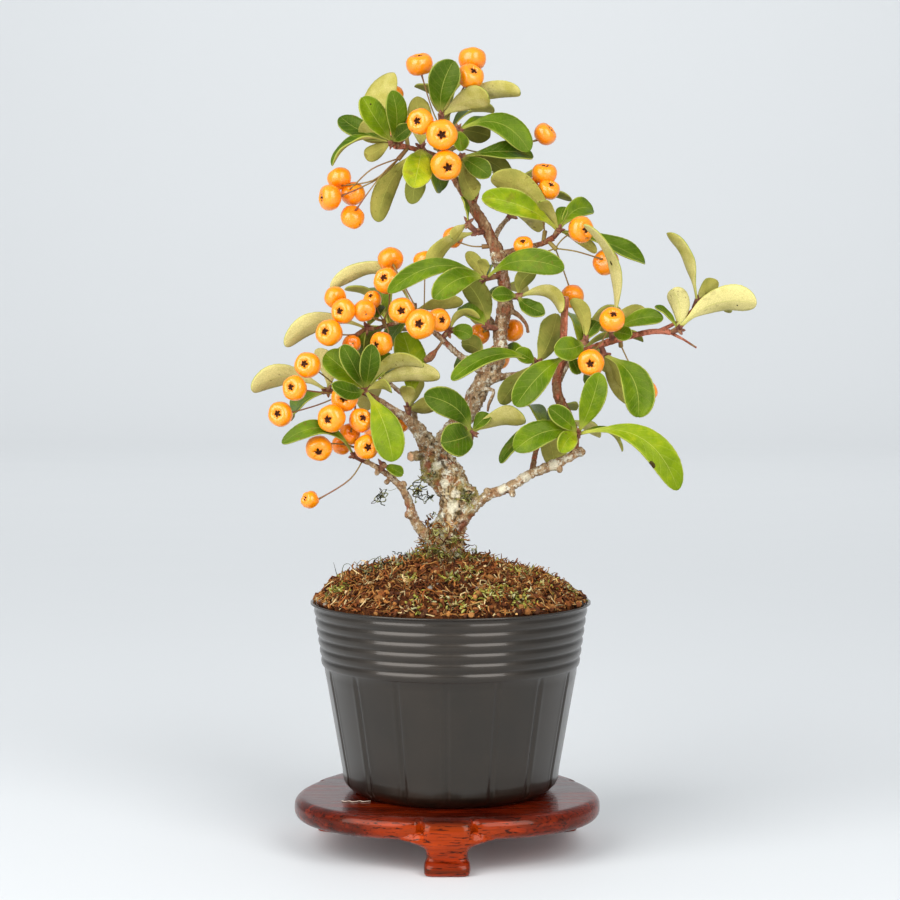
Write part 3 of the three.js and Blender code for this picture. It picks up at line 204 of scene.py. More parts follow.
SPRAYS = {
    "crown_left": spray(
        (-17.6, 223.2, 1, 1.2), [(-18.6, 224.3, -2.6)],
        (0, -28, 238.5, -9, 8, 15, 0.1, -0.05, "olive"),
        (0, -17.3, 245.5, 4, 10, 150, 0.1, -0.33, "olive"), (0, -35, 232.3, 6, 7, 25, 0.08, -0.1, "dark"),
        (0, -28.9, 229.5, -1, 8, 165, 0.1, 0, "green"), (0, -38, 217, -6, 5.5, 72, 0.22, 0, "green"),
        (0, -27, 219.3, -4, 5, 170, 0.1, 0, "green"), (0, -18.6, 240.5, -13, 7, 20, 0.1, 0.05, "green"),
        (0, -12.6, 229.3, -9, 5, 10, 0.1, 0, "dark"),
    ),
    "crown_low": spray(
        (-8, 221.2, 2, 0.9), [(-9.2, 222.4, -2.2)],
        (0, -11.8, 209.8, -14, 9.5, 5, 0.12, 0, "yellow"),
        (0, -12, 204.8, -3, 6.5, 165, 0.1, 0.05, "dark"),
        (0, -23.2, 199.1, 0, 7, 160, 0.12, 0.08, "green"), (0, -11, 238.5, 6, 8, 165, 0.1, 0, "green"),
        (0, -3, 209, 8, 7, 30, 0.1, 0, "green"),
    ),
    "crown_top": spray(
        (-3, 230, 0.5, 0.8), [(-3, 232.6, -0.6)],
        (0, 1, 250, -7, 9.8, 8, 0.08, -0.08, "dark"), (0, 12.3, 238.3, -9, 8, 160, 0.12, -0.06, "olive"),
        (0, 22.3, 240, -7, 6, 150, 0.15, -0.05, "olive"), (0, -5, 246, 13, 9, 150, 0.1, 0, "green"),
    ),
    "crown_right": spray(
        (-2, 224.5, 1, 1), [(2.2, 228.3, -1.5)],
        (0, 25, 221.3, -5, 8.5, 25, 0.08, -0.2, "green"), (0, 14.3, 231, 2, 6, 60, 0.1, 0, "green"),
        (0, 12.6, 226.3, 5, 7.5, 155, 0.1, 0, "dark"), (0, 3.4, 221.6, -6, 5, 10, 0.1, 0, "green"),
    ),
    "crown_inner": spray(
        (-0.5, 218, 1, 1.1), [(3.2, 219.6, -3.2)],
        (0, 12.5, 213.6, -10, 6.5, 8, 0.1, 0, "dark"), (0, 26.5, 220.4, 0, 7, 35, 0.15, 0.04, "dark"),
        (0, 8, 206.8, -8, 6.5, 160, 0.1, 0.1, "dark"), (0, 19.5, 212.2, 3, 5.5, 150, 0.1, -0.1, "dark"),
    ),
    "upper_right": spray(
        (32.8, 194, -3.5, 1.1), [(34.4, 196.4, -5.6)],
        (0, 10, 206.8, -14, 7.8, 12, 0.1, 0.06, "bright"), (0, 13, 213.3, -11, 8, 160, 0.1, 0.1, "green"),
        (0, 45.6, 203, 3, 6.5, 15, 0.1, -0.15, "olive"), (0, 28.4, 205.4, -17, 4, 150, 0.1, 0, "green"),
        (0, 36, 203.8, -2, 4, 20, 0.1, 0, "green"), (0, 61.8, 186, 2, 7, 45, 0.1, 0.02, "green"),
        (0, 46.5, 189.3, -4, 4, 140, 0.1, 0, "green"),
    ),
    "stem_left": spray(
        (11.7, 196, 0, 1.9), [(8.4, 195.9, -2.6), (5.6, 198.8, -3.6)],
        (0, -7, 182.3, -3, 5.5, 150, 0.12, 0.12, "green"), (1, 0.3, 193.8, -7, 3.8, 150, 0.1, 0, "green"),
        (1, 3.5, 207, -5, 3.5, 70, 0.05, 0, "green"),
    ),
    "stem_middle": spray(
        (16.5, 182, 0.5, 2), [(11.2, 181.2, -3)],
        (0, -5.5, 174.6, -15, 8, 8, 0.1, 0.12, "green"), (0, -20, 176.5, -15, 6, 12, 0.1, 0.16, "green"),
        (0, 36.2, 184, -17, 8, 10, 0.1, -0.13, "green"), (0, 9.8, 187.4, -7, 4, 150, 0.05, 0, "green"),
        (0, 5, 189.3, 2, 4.5, 160, 0.1, 0, "green"),
    ),
    "trunk_left": spray(
        (15.8, 165, 1, 2.3), [(12, 165.6, -2.5)],
        (0, 4.4, 180.8, 2, 8, 160, 0.1, 0.05, "dark"), (0, 3.5, 172, 6, 7, 30, 0.1, 0, "green"),
    ),
    "trunk_left_low": spray(
        (14.6, 155.4, 1, 2.7), [(10.6, 156.2, -1.2)],
        (0, 3.6, 160.2, 3, 6.5, 150, 0.1, 0.1, "dark"), (0, 2, 150, 8, 7, 40, 0.1, 0, "green"),
    ),
    "trunk_right": spray(
        (17.2, 175, 1, 2.2), [(21.4, 175.4, -3)],
        (0, 13.3, 175.6, -7, 5, 20, 0.1, 0, "green"), (0, 27.2, 184, 1, 6, 155, 0.1, -0.1, "dark"),
        (0, 35.3, 170.2, -9, 5, 150, 0.2, -0.2, "olive"), (0, 30, 170, -12, 5.5, 15, 0.1, 0.1, "dark"),
    ),
    "middle": spray(
        (25.5, 152.2, -1.5, 0.9), [(27.4, 153.9, -4.6)],
        (0, 0.3, 148.7, -19, 5.5, 35, 0.12, 0.1, "green"), (0, 33.9, 169.8, 3, 8, 160, 0.1, 0.1, "dark"),
        (0, 20.8, 157.8, -9, 5, 20, 0.1, 0, "green"), (0, 15.8, 141, -5, 6.5, 160, 0.1, 0, "dark"),
        (0, 17.4, 158.8, 6, 5, 20, 0.1, 0, "green"),
    ),
    "right_middle": spray(
        (37, 155.6, -4, 1.2), [(37.6, 156.8, -7.4), (43, 160.8, -8)],
        (0, 20.8, 140.3, -18, 8.5, 10, 0.12, 0.05, "green"),
        (1, 33.2, 158.6, -15, 8, 8, 0.12, -0.1, "green"), (1, 38.6, 174.5, -9, 5, 150, 0.1, 0.1, "green"),
        (1, 46.8, 167.3, -6, 6, 30, 0.1, 0, "teal"), (0, 41, 150.6, -10, 4.5, 20, 0.1, 0, "dark"),
    ),
    "right_inner": spray(
        (51.5, 161, -1.8, 1.15), [(51.6, 164, -3.4)],
        (0, 42.6, 198.4, -19, 6.5, 120, 0.08, 0.07, "pale"), (0, 47.2, 168, 1, 5, 165, 0.1, 0, "green"),
        (0, 57.8, 162.8, -10, 5, 15, 0.1, 0, "green"), (0, 68, 168.5, -4, 5.5, 20, 0.1, -0.08, "green"),
        (0, 62, 171.2, 3, 4.5, 160, 0.1, -0.1, "green"),
    ),
    "right_under": spray(
        (48, 159.9, -2.3, 1.1), [(49, 156.9, -3.6)],
        (0, 60, 136.8, -11, 10, 15, 0.12, -0.15, "green"), (0, 55.2, 146.4, -1, 4, 150, 0.1, 0, "green"),
        (0, 56.8, 141, 3, 4.5, 150, 0.1, 0.1, "green"), (0, 45, 146, 6, 7, 40, 0.1, 0, "green"),
    ),
    "right_low": spray(
        (39.9, 131.5, -5.5, 1.05), [(40.8, 131.7, -9.4)],
        (0, 47.6, 151, -16, 8, 10, 0.08, 0.05, "olive"),
        (0, 72.8, 113.4, -16, 9, 18, 0.12, -0.2, "bright"),
        (0, 55.3, 125.9, -6, 4.5, 75, 0.15, -0.1, "green"),
        (0, 35.3, 125.4, -17, 6, 5, 0.1, 0.1, "bright"), (0, 20.5, 126, -16, 9, 25, 0.12, 0.1, "green"),
        (0, 16, 122, -8, 5.5, 45, 0.1, 0.15, "dark"), (0, 31.4, 139.8, -15, 6, 15, 0.1, 0, "green"),
    ),
    "right_tip": spray(
        (70.4, 163.9, 0, 1), [(72.6, 164.9, -1.5)],
        (0, 97.6, 173, -6, 9.5, 150, 0.12, -0.1, "pale"),
        (0, 70.6, 177.5, -4, 6.5, 165, 0.1, 0.12, "pale"), (0, 65.3, 172.3, -3, 4, 60, 0.1, 0, "green"),
    ),
    "right_tip_upper": spray(
        (77.6, 171.4, 3, 0.6), [(78.7, 173.6, 3)],
        (0, 69.6, 196, 1, 6.5, 118, 0.08, 0, "olive"), (0, 85.2, 180.2, 7, 5.5, 155, 0.1, 0, "olive"),
        (0, 88, 171, 20, 8, 60, 0.15, 0, "green"),
    ),
    "trunk_front": spray(
        (4, 136.6, 2, 3.4), [(6.6, 131.8, -5)],
        (0, -8.5, 143.7, -14, 9, 12, 0.1, 0.13, "dark"), (0, -3, 128.4, -17, 11, 5, 0.15, -0.05, "dark"),
        (0, 12.5, 137.6, -5, 5, 30, 0.1, 0, "green"), (0, 24, 136, -11, 7.5, 150, 0.12, -0.05, "olive"),
    ),
    "left": spray(
        (-27, 144.3, -5, 0.9), [(-27.3, 145.4, -8.6)],
        (0, -34.5, 159.8, -15, 6.3, 8, 0.1, 0, "dark"), (0, -25.2, 160, -18, 6.3, 8, 0.1, 0, "dark"),
        (0, -40, 157, -9, 9, 12, 0.1, 0, "olive"), (0, -37.8, 147.3, -22, 5.5, 12, 0.1, -0.1, "dark"),
        (0, -8.5, 153.2, -17, 5.5, 150, 0.15, -0.15, "olive"),
        (0, -3.5, 149.7, -11, 6, 160, 0.1, -0.08, "olive"),
        (0, -18.8, 145, -18, 4, 150, 0.1, -0.1, "green"),
        (0, -18.5, 122.5, -18, 9.8, 6, 0.1, -0.06, "bright"),
        (0, -19.3, 157.2, -3, 6, 15, 0.1, 0, "green"),
    ),
    "left_inner": spray(
        (-13.5, 135.8, -1.8, 1.8), [(-13.6, 139.4, -2.4)],
        (0, -14.2, 146.8, -7, 5, 165, 0.1, 0, "green"), (0, -9, 148.5, 1, 5, 150, 0.1, 0, "green"),
        (0, -15.5, 163.8, 1, 10, 20, 0.1, 0.05, "bright"), (0, -5, 139.5, 2, 6, 150, 0.1, 0, "green"),
    ),
    "left_far": spray(
        (-37, 145, -1, 0.7), [(-39.2, 145.2, -1.4)],
        (0, -63.5, 145.4, -5, 8, 150, 0.18, 0.1, "pale"), (0, -43, 158.5, 1, 6, 160, 0.1, 0.1, "pale"),
        (0, -50, 137, 16, 8, 50, 0.12, 0, "green"),
    ),
    "left_middle": spray(
        (-24.5, 165, -2, 0.65), [(-26.8, 165.4, -2.4)],
        (0, -53, 159.6, -3, 7, 150, 0.15, 0.12, "pale"), (0, -22.3, 172.6, 2, 5.5, 20, 0.1, 0, "dark"),
        (0, -31, 156, 3, 7, 20, 0.1, 0, "green"),
    ),
    "left_top": spray(
        (-11, 168.2, -3, 0.85), [(-11.6, 170.8, -1.6)],
        (0, -38.5, 178, 1, 6, 135, 0.2, 0.2, "pale"), (0, 4, 173.4, 3, 5, 150, 0.1, 0, "green"),
        (0, -20, 159, 13, 6, 30, 0.1, 0, "green"),
    ),
    "middle_left": spray(
        (-3, 161.9, -4.6, 1), [(-0.8, 164, -5.6)],
        (0, 9.3, 168.3, -7, 4.5, 120, 0.2, -0.15, "green"),
        (0, 6.6, 162.6, -8, 5.5, 20, 0.1, -0.1, "green"),
    ),
    "low_left": spray(
        (-28, 122.7, -6.5, 0.7), [(-30.6, 124.4, -8.4)],
        (0, -54, 128.4, -15, 5.5, 40, 0.15, 0.2, "green"),
    ),
    "low_left_small": spray(
        (-22, 119.6, -5.7, 1), [(-21.8, 121.3, -7.2)],
        (0, -15.3, 118.4, -9, 3.6, 20, 0.1, 0, "green"),
    ),
}


def bunch(root, hub, *berries):
    """A bunch of berries: the wood that it hangs from, the hub of its stalks and its berries.

    A berry is its x, z, depth and radius, and the way its eye looks: to the right, up, and 1
    towards the viewer or -1 away.
    """
    return {"root": root, "hub": hub, "berries": berries}


BUNCHES = {
    "crown_top": bunch(
        (-2.6, 227.5, 0.8, 0.9), (-3.6, 229.6, 4),
        (-9.8, 248.7, 3, 4.3, -0.15, 0.94, 1), (6.8, 250.2, 5, 4.5, 0.05, 0.96, -1),
        (6.2, 244.9, -2, 4.3, 0.4, 0.62, 1),
    ),
    "crown_front": bunch(
        (-1.2, 221, 1, 1), (-4.6, 222.4, -3),
        (-9.5, 230.8, -13, 4.2, -0.42, 0, 1), (-2.8, 226.7, -15, 4.9, 0, -0.1, 1),
        (-1.5, 217.1, -13, 4.9, 0.2, -0.32, 1),
    ),
    "crown_far_left": bunch(
        (-13.5, 222.6, 1.5, 0.9), (-16.4, 219.2, 0.4),
        (-35.4, 212.6, -1, 3.9, -0.3, 0.85, -1), (-38.3, 206.8, -6, 4.2, -0.94, -0.02, 1),
        (-31.2, 208.1, 0, 3.9, 0.3, -0.45, -1), (-31.2, 200.7, -4, 3.9, -0.35, -0.75, -1),
    ),
    "crown_back": bunch(
        (-13.5, 222.6, 1.5, 0.9), (-14, 225.4, 5),
        (-18.1, 239.2, 8, 3.2, -0.2, 0.9, -1), (-16, 229, 20, 4.2, -0.2, 0.3, -1),
    ),
    "crown_single": bunch(
        (-1, 221.5, 1, 1), (1.8, 222.8, 5),
        (29.9, 226.7, 3, 3.8, 0.7, 0.66, 1),
    ),
    "upper_right_top": bunch(
        (29.5, 192.3, -3, 0.9), (30, 195.6, -0.8),
        (29.9, 214.2, -1, 4, 0.08, 0.95, 1), (31.2, 209.2, -3, 3.5, 0.35, 0.7, 1),
        (25.1, 209.7, 1, 3.4, -0.4, 0.5, -1),
    ),
    "upper_right": bunch(
        (31, 193.1, -3.2, 1), (33.4, 190.6, -4.4),
        (41.4, 196.6, -10, 4.2, 0.6, 0, 1), (23.2, 191.5, -6, 3.1, -0.1, 0.7, 1),
        (49.4, 186.3, -3, 4.2, 0.4, -0.3, -1), (38.8, 175.5, 2.5, 3.9, 0.2, -0.75, 1),
    ),
    "right_low": bunch(
        (46, 159.2, -2.8, 1.05), (45.8, 158, -6),
        (51.6, 167.8, -13, 4.1, 0.1, 0.7, 1), (44.9, 154.3, -12.5, 4.3, -0.15, -0.15, 1),
    ),
    "right_far": bunch(
        (54.2, 161.8, -1.5, 1), (54.4, 159.8, 0.6),
        (62.6, 145.1, 0, 3.6, 0.4, -0.4, -1),
    ),
    "left_top": bunch(
        (-8.5, 166.6, -4, 0.9), (-8.6, 167.4, -6.6),
        (-19.1, 187, 3, 4.1, -0.3, 0.6, -1), (-8.2, 186.3, 2, 3.8, 0, 0.9, -1),
        (-15.6, 170.9, -12, 4.2, -0.02, -0.05, 1), (-9.5, 166.5, -16, 4.8, -0.18, 0.05, 1),
        (-3.9, 167.8, -10, 3.8, 0.5, 0, 1),
    ),
    "left_middle": bunch(
        (-21, 166, -2, 0.7), (-21.4, 167.4, -3.8),
        (-20.4, 180.2, -5, 4.2, -0.35, 0.4, 1), (-36.7, 174.9, -5, 3.6, -0.5, 0.3, -1),
        (-34.1, 170.7, -10, 4, -0.5, -0.02, 1), (-27.5, 170.7, -9, 3.6, -0.2, 0.4, -1),
        (-24.9, 174.2, -3, 3, -0.3, 0.7, 1), (-22, 160.4, -11, 3.8, -0.7, -0.2, 1),
    ),
    "left_edge": bunch(
        (-27.5, 164.9, -2, 0.65), (-29.6, 163.4, -4.4),
        (-38.7, 163.7, -12, 4.3, -0.5, 0.18, 1), (-31.6, 160.2, -5, 3, -0.2, 0, -1),
    ),
    "left_low": bunch(
        (-33.4, 145.1, -2.5, 0.75), (-34.2, 144.2, -5),
        (-45.6, 153.4, -10, 4.2, -0.38, 0.18, 1), (-49.8, 146, -12, 4, -0.48, 0.18, 1),
        (-54.4, 137.7, -9, 4, -0.35, 0.1, 1),
    ),
    "left_front": bunch(
        (-30, 144.8, -3.8, 0.8), (-30.4, 142, -5.6),
        (-38, 136.4, -16, 4.5, -0.42, -0.1, 1), (-33.9, 142.8, -11, 4.3, -0.05, 0.02, 1),
        (-28.8, 135.6, -12, 3.9, 0.35, 0.4, 1), (-32.3, 131.4, -8, 3.4, -0.2, -0.3, -1),
    ),
    "low_left": bunch(
        (-26.5, 122.2, -6.3, 0.8), (-27, 125.4, -7),
        (-27, 127.2, -14, 4, 0.25, 0, 1), (-42.2, 126.9, -10, 4.2, 0, -0.45, 1),
        (-34.9, 127.9, 0, 3.2, -0.3, -0.2, -1), (-45, 110.2, -11, 3.1, -0.8, 0.25, 1),
    ),
    "leader_left": bunch(
        (13.9, 191.4, 0, 2.2), (10.4, 191.2, 0),
        (0.8, 194, 4, 3.4, -0.3, 0.5, -1),
    ),
    "leader_back": bunch(
        (15.9, 166.5, 1, 2.3), (17.5, 167, 5),
        (9.4, 163.4, 6, 3.4, -0.5, -0.3, -1), (19.8, 164.6, 7, 3.6, 0.5, -0.3, -1),
        (15, 156, 15, 4.2, 0, -0.6, -1),
    ),
    "left_limb_back": bunch(
        (-17.5, 138.6, -3, 1.2), (-17.2, 137.6, 0.4),
        (-16, 135.4, 5, 3.4, 0.2, -0.4, -1), (-24, 133, 14, 4, -0.2, -0.5, -1),
    ),
}
# Sprays behind the trunk: the limb, the way faced and raised in degrees, and the number of leaves.
BACK_SPRAYS = {
    "back_crown": ("back_crown", (-10, 35), 4),
    "back_upper": ("back_upper", (30, 25), 4),
    "back_trunk": ("back_trunk", (-5, 20), 4),
    "back_middle_left": ("back_mid_left", (-35, 15), 4),
    "back_left": ("back_left", (-30, 5), 4),
    "back_right": ("back_right", (35, 15), 4),
    "back_low_right": ("back_low_right", (15, -5), 4),
}
BACK_LEAF = {"length": 21, "width": 8.5, "spread": 52, "bend": 0.16, "stem": 2.6, "lean": -0.4}
# The golden angle, by which each leaf stands round from the one before it.
LEAF_TURN = math.radians(137.5)
# The bunch and the number of its one withered berry.
WITHERED = ("low_left", 3)
# Pale cut ends of pruned stubs: x, z, depth and reach.
CUT_ENDS = ((-14.3, 124.2, -5.6, 2.4), (36.6, 176, -5, 1.3))
# Swollen joints of the leader with old pale bark: x, z, depth and reach.
OLD_JOINTS = ((15.4, 187.4, 0, 3.4), (15.8, 158.6, 1, 3.6))
# Patches seen on the bark: x, z, depth and reach. Rust is bare brown wood, chalk is pale and smooth.
RUST_PATCHES = (
    (-8, 121.2, -5, 2.6), (-6.6, 118.6, -5, 2), (-4.4, 115.4, -5, 2), (4.6, 101.5, -4, 3.4),
    (6.4, 105, -3, 2.2), (10.4, 110.4, -3, 2.4), (-1, 99, -5, 1.8), (2.2, 96.5, -5, 2.6),
    (-14.6, 107.5, -4, 2), (-9, 100.4, -3, 2),
)
CHALK_PATCHES = (
    (-4.6, 121.2, -5, 2.2), (0.4, 108, -5, 3.2), (-2, 115.5, -5, 2.4), (1.6, 112, -5, 2.2),
    (16.5, 113.6, -4.5, 2.4), (24, 117.6, -5, 2.6), (33, 121.4, -6, 2.4), (-12.6, 111.4, -5, 1.4),
)
SHADE_PATCHES = (
    (-9.4, 124, -4, 1.8), (-0.5, 124.5, -4, 1.6), (4.2, 112.8, -5, 1.5), (3, 106, -4.5, 1.4),
    (2.6, 98.8, -5, 1.6),
)

# Knots and bud scars on the wood: x, z, depth and radius.
KNOTS = (
    (11.9, 112.8, -4, 1.5), (19.8, 112.2, -5, 1.35), (34.9, 120, -6.5, 1.2), (41.8, 125.6, -6, 1.6),
    (-20.5, 115.9, -6, 1), (-15.1, 115.2, -6, 1.2), (-13.6, 105.4, -4.5, 1.5), (-23.6, 118.9, -6.5, 0.9),
    (6.7, 112.6, -3, 2.2), (-7.4, 118, -3, 2), (15.4, 187.6, -1, 2.7), (17.8, 171.4, -1, 2.3),
    (13, 154, -1, 1.6), (34.4, 143, -6, 1.5), (50.2, 160.9, -2.2, 1.2), (-13, 135.4, -2.5, 1.7),
    (-12.4, 123.9, -4, 1.5),
)
# How young the bark is along a limb, from its root to its end: 0 is grey and old, 1 red and new.
YOUTH = {
    "trunk": (0, 0), "leader": (0.2, 0.54), "left": (0.1, 0.62), "low_left": (0.25, 0.42),
    "low_right": (0.22, 0.3), "right": (0.4, 0.98), "right_tip": (0.95, 1), "right_tip_thorn": (0.9, 0.7),
    "red_stub": (0.7, 0.9), "upper_right": (0.35, 0.6), "mid_left": (0.25, 0.5),
    "mid_right": (0.25, 0.45), "crown_left": (0.5, 0.8), "crown_thorn": (0.7, 0.6),
    "crown_stub": (0.65, 0.7), "pink_stub": (0, 0.3), "bark_knob": (0, 0), "dark_knot": (0.4, 0.4),
    "right_twig": (0.5, 0.56), "low_twig": (0.22, 0.34), "short_snag": (0.7, 1),
    "back_low_right": (0.5, 0.56), "dried_bud": (0.5, 0.5), "root_thorn": (0.4, 0.4),
}
# Hollows of the trunk where its bark is green: x, z and depth.
MOSSY_HOLLOWS = ((-8.5, 119, -3), (5.5, 112, -4), (-5, 97, -5))

CRUMB_COLOURS = ("6a3a1c", "83491f", "42210f", "96602f", "54301a", "a8723c", "7a4524")
GRAIN_COLOURS = ("c8954a", "cfa060", "b07a3c", "9a8f7e", "dcc08a")
# Fibres this near to the pot's edge begin to lie flatter.
FLATTER_FROM = 30.5
FIBRE_COLOURS = (
    "7a3d1a", "8f4e24", "a8642e", "6a3415", "bb8244", "cfa362", "552a12", "ab6c34", "e0c48c", "96561f",
    "8a4a1c", "b0793a",
)
MOSS_COLOURS = ("aba644", "a09a3a", "b9b35a", "7e8030", "c6bf78", "6b6a26", "cbc590", "b0a94a")
WISP_COLOURS = ("2a3120", "5a5f3e", "8a8c62", "3a2e20", "a3a680", "232a1c")
# Grains that stand out, as seen: x, z, radius and colour.
SEEN_GRAINS = (
    (-28.8, 79.6, 1.5, "c98f48"), (-20.6, 79.9, 1.4, "c07a38"), (-3.4, 79.7, 1.5, "c78a42"),
    (-35.2, 76.6, 1.3, "b97a36"), (-14.5, 83.6, 1.1, "cfae78"), (-28.3, 77, 1.2, "d0a468"),
    (-18, 76.2, 1.1, "b8793a"), (8.4, 81.2, 1.1, "9a9082"), (-6.6, 81.2, 1.3, "8f8a80"),
    (32, 78.5, 1.1, "c9a070"),
)
# Moss as seen on the soil: x, z, spread and number of stems.
SEEN_MOSS = (
    (-0.2, 85.3, 1.8, 26), (2, 84, 1.4, 16), (13.6, 79.6, 2.2, 34), (20.3, 79, 2.4, 40),
    (23.8, 77, 1.8, 26), (17, 81.5, 1.5, 18), (1.2, 75.6, 1.8, 24), (-9.8, 76.4, 2, 20),
    (-38, 79.8, 1.8, 26), (-34, 82, 1.6, 18), (39, 79, 1.8, 26), (22, 86.4, 2, 24), (27, 85.6, 1.6, 18),
    (-12.6, 83.8, 1.8, 22), (30, 82, 1.4, 12), (-22, 88, 1.5, 14), (6, 87.5, 1.5, 14), (9, 76.5, 1.5, 12),
)
# Moss on the trunk: x, z and depth.
TRUNK_MOSS = (
    (-8.8, 117.6, -4), (5.2, 110.5, -5), (-5.5, 95, -7), (1.5, 97.5, -6.5), (-9.5, 93.5, -5),
    (-7, 92.4, -7), (-2.6, 93, -8), (3, 92.6, -7), (-4.4, 99.5, -6.5), (6.4, 91.8, -4),
    (-10.4, 113.6, -5),
)
# Peat fibres cling to the foot of the trunk: how high they reach, and how far from its middle.
FOOT_FIBRES = 460
FOOT_FIBRE_REACH = (89.5, 104)
FOOT_MIDDLE = (-2.5, 0)
FOOT_RADII = (8.2, 5.3)
# Thin sprouts at the left of the soil: colour, radius, and the places that each is seen through.
SPROUTS = (
    ("3c3a2a", 0.16, ((-36.2, 85), (-37, 87.5), (-37.6, 90))),
    ("56603a", 0.15, ((-35.2, 85.6), (-34.4, 89), (-32.4, 89.4), (-31.2, 87))),
    ("4a4a38", 0.16, ((-29.6, 86.8), (-30, 89.4), (-28.6, 90.8))),
    ("7c7f5a", 0.16, ((-27.6, 87.2), (-26, 90.6), (-23.4, 91.4), (-21.4, 90))),
    ("34402a", 0.22, ((-25, 87.6), (-24.2, 90.8), (-22.4, 92.2))),
    ("2e3a26", 0.22, ((-22.4, 88), (-21.6, 91), (-19.6, 91.8))),
    ("3e4a2c", 0.2, ((-23.6, 88), (-20.8, 90), (-18.4, 90.2))),
    ("2e3624", 0.22, ((-15.4, 89), (-15, 91.6), (-14.6, 93.4))),
    ("5a6a34", 0.2, ((-14.2, 89.2), (-12.6, 91.4), (-11, 92))),
    ("8a8a60", 0.18, ((-20, 84.5), (-18.8, 87.5), (-19.6, 90))),
)
# Tangles of dry wisps on the bark: x, z, depth, reach and number of strands.
WISPS = (
    (-9.4, 114.4, -5, 3, 12), (-7.6, 111.6, -5, 2.2, 8), (-22.6, 111.4, -7, 2.6, 9),
    (-6.6, 118.6, -4.5, 1.8, 5), (-5.6, 105.6, -4.5, 1.6, 4), (-21.4, 89.6, -6, 2.4, 7),
    (-16, 91.6, -4, 2.2, 7), (22.6, 87.2, 6, 2, 5), (-27.5, 87.6, -8, 2.4, 5), (5.6, 112, -5, 2.2, 4),
    (-13.5, 92.6, -4, 2, 5), (8.6, 93, -3, 2, 4),
)
# The thread that the tangle by the low left limb hangs on.
WISP_THREAD = ((-22.8, 112, -7), (-21.4, 113.6, -6.6), (-19.4, 113.2, -6), (-17.4, 113.9, -5.4))
# Scales of the large bud at the left of the crown: the way each points.
CROWN_BUD = (-17.4, 224.4, -0.8)
CROWN_BUD_SCALES = (
    (-0.9, 0.6), (-0.5, 1), (-0.1, 1), (0.4, 0.9), (0.9, 0.5), (-1, 0), (1, -0.1), (-0.8, -0.6),
    (0.5, -0.8), (-0.2, -1), (0.1, 0.5), (-0.5, 0.3),
)
# Brown marks on leaves, by the leaf's tip: place along and across the leaf, and size.
LEAF_MARKS = {
    (72.8, 113.4): (0.66, 0.04, 0.05), (-15.5, 163.8): (0.5, 0.6, 0.07), (-28, 238.5): (0.75, 0.35, 0.03),
    (97.6, 173): (0.7, 0.7, 0.025), (42.6, 198.4): (0.5, 0.55, 0.03),
}
# The fibre on the stand's board: its places as seen from above, x and y.
BOARD_FIBRE = (
    (-34.3, -19.2), (-33.2, -20.4), (-31.9, -19.6), (-30.9, -20.9), (-29.6, -20.4), (-28.6, -19.3),
    (-27.6, -20.6), (-26.4, -20.1), (-25.2, -19.6),
)

# The camera: its lens in millimetres, and how far it looks down in degrees.
LENS = 93.76
CAMERA_DIP = 3.44
WORLD_STRENGTH = 0.5
# Soft lights: name, angle to the right of the camera, elevation, distance, width, height and power.
LIGHTS = (
    ("left_soft_box", -44, 25, 1.3, 1.15, 1.25, 21.5),
    ("right_soft_box", 32, 27, 1.4, 0.85, 1.25, 16.5),
)
# The light on the backdrop stands behind and above the tree.
WASH_PLACE = (0, 1.2, 2.1)
WASH_TARGET = (0, 3.4, 0.6)
WASH_SIZE = (3, 1)
WASH_POWER = 36
LIGHTS_TARGET = Vector((0, 0, 0.13))
# The backdrop, in metres: a floor that runs back, curves up and goes on as a wall.
BACKDROP_WIDTH = 9
BACKDROP_LENGTH = 7
BACKDROP_FRONT = -3
BACKDROP_STRAIGHT = 2.2
BACKDROP_RADIUS = 1.2


def length_setting(name, description, millimetres):
    return FloatProperty(
        name=name, description=description, default=millimetres * MM, min=0, unit="LENGTH", precision=5
    )


def share_setting(name, description, share):
    return FloatProperty(name=name, description=description, default=share, min=0, max=2, subtype="FACTOR")


def colour_setting(name, description, digits):
    return FloatVectorProperty(
        name=name, description=description, default=colour(digits), size=3, min=0, max=1, subtype="COLOR"
    )


class FirethornSizes(bpy.types.PropertyGroup):
    """Sizes of the tree, its pot and its stand."""

    pot_rim_radius: length_setting("Pot rim radius", "Outer radius of the pot's rim", 45)
    pot_band_radius: length_setting("Ribbed band radius", "Outer radius where the ribs begin", 40.8)
    pot_waist_radius: length_setting("Pot waist radius", "Outer radius just above the foot", 34.5)
    pot_foot_radius: length_setting("Pot foot radius", "Radius of the foot that the pot stands on", 31.5)
    pot_height: length_setting("Pot height", "Height of the pot", 61)
    pot_wall: length_setting("Pot wall", "Thickness of the pot's wall", 1)
    stand_top: length_setting("Stand height", "Height of the top of the stand's board", 16.4)
    board_thickness: length_setting("Board thickness", "Thickness of the stand's board", 7)
    board_radius: length_setting("Board radius", "Mean radius of the stand's board", 48.1)
    board_lobe: length_setting("Board lobe", "How far each lobe stands out of the mean radius", 2.8)
    stand_shift: FloatProperty(
        name="Stand shift", description="How far to the right of the pot's axis the stand lies",
        default=-1.1 * MM, unit="LENGTH", precision=5,
    )
    soil_crown: length_setting("Soil crown", "Height of the soil at the trunk", 91.6)
    leaf_thickness: length_setting("Leaf thickness", "Thickness of a leaf's blade", 0.42)
    leaf_fold: share_setting("Leaf fold", "How far a leaf's margins rise, as a share of its half width", 0.36)
    leaf_tooth: share_setting("Leaf tooth", "Depth of a margin's teeth, as a share of its half width", 0.008)
    bark_relief: length_setting("Bark relief", "Height of the ridges of the old bark", 0.62)
    stalk_radius: length_setting("Stalk radius", "Radius of a berry's stalk", 0.23)


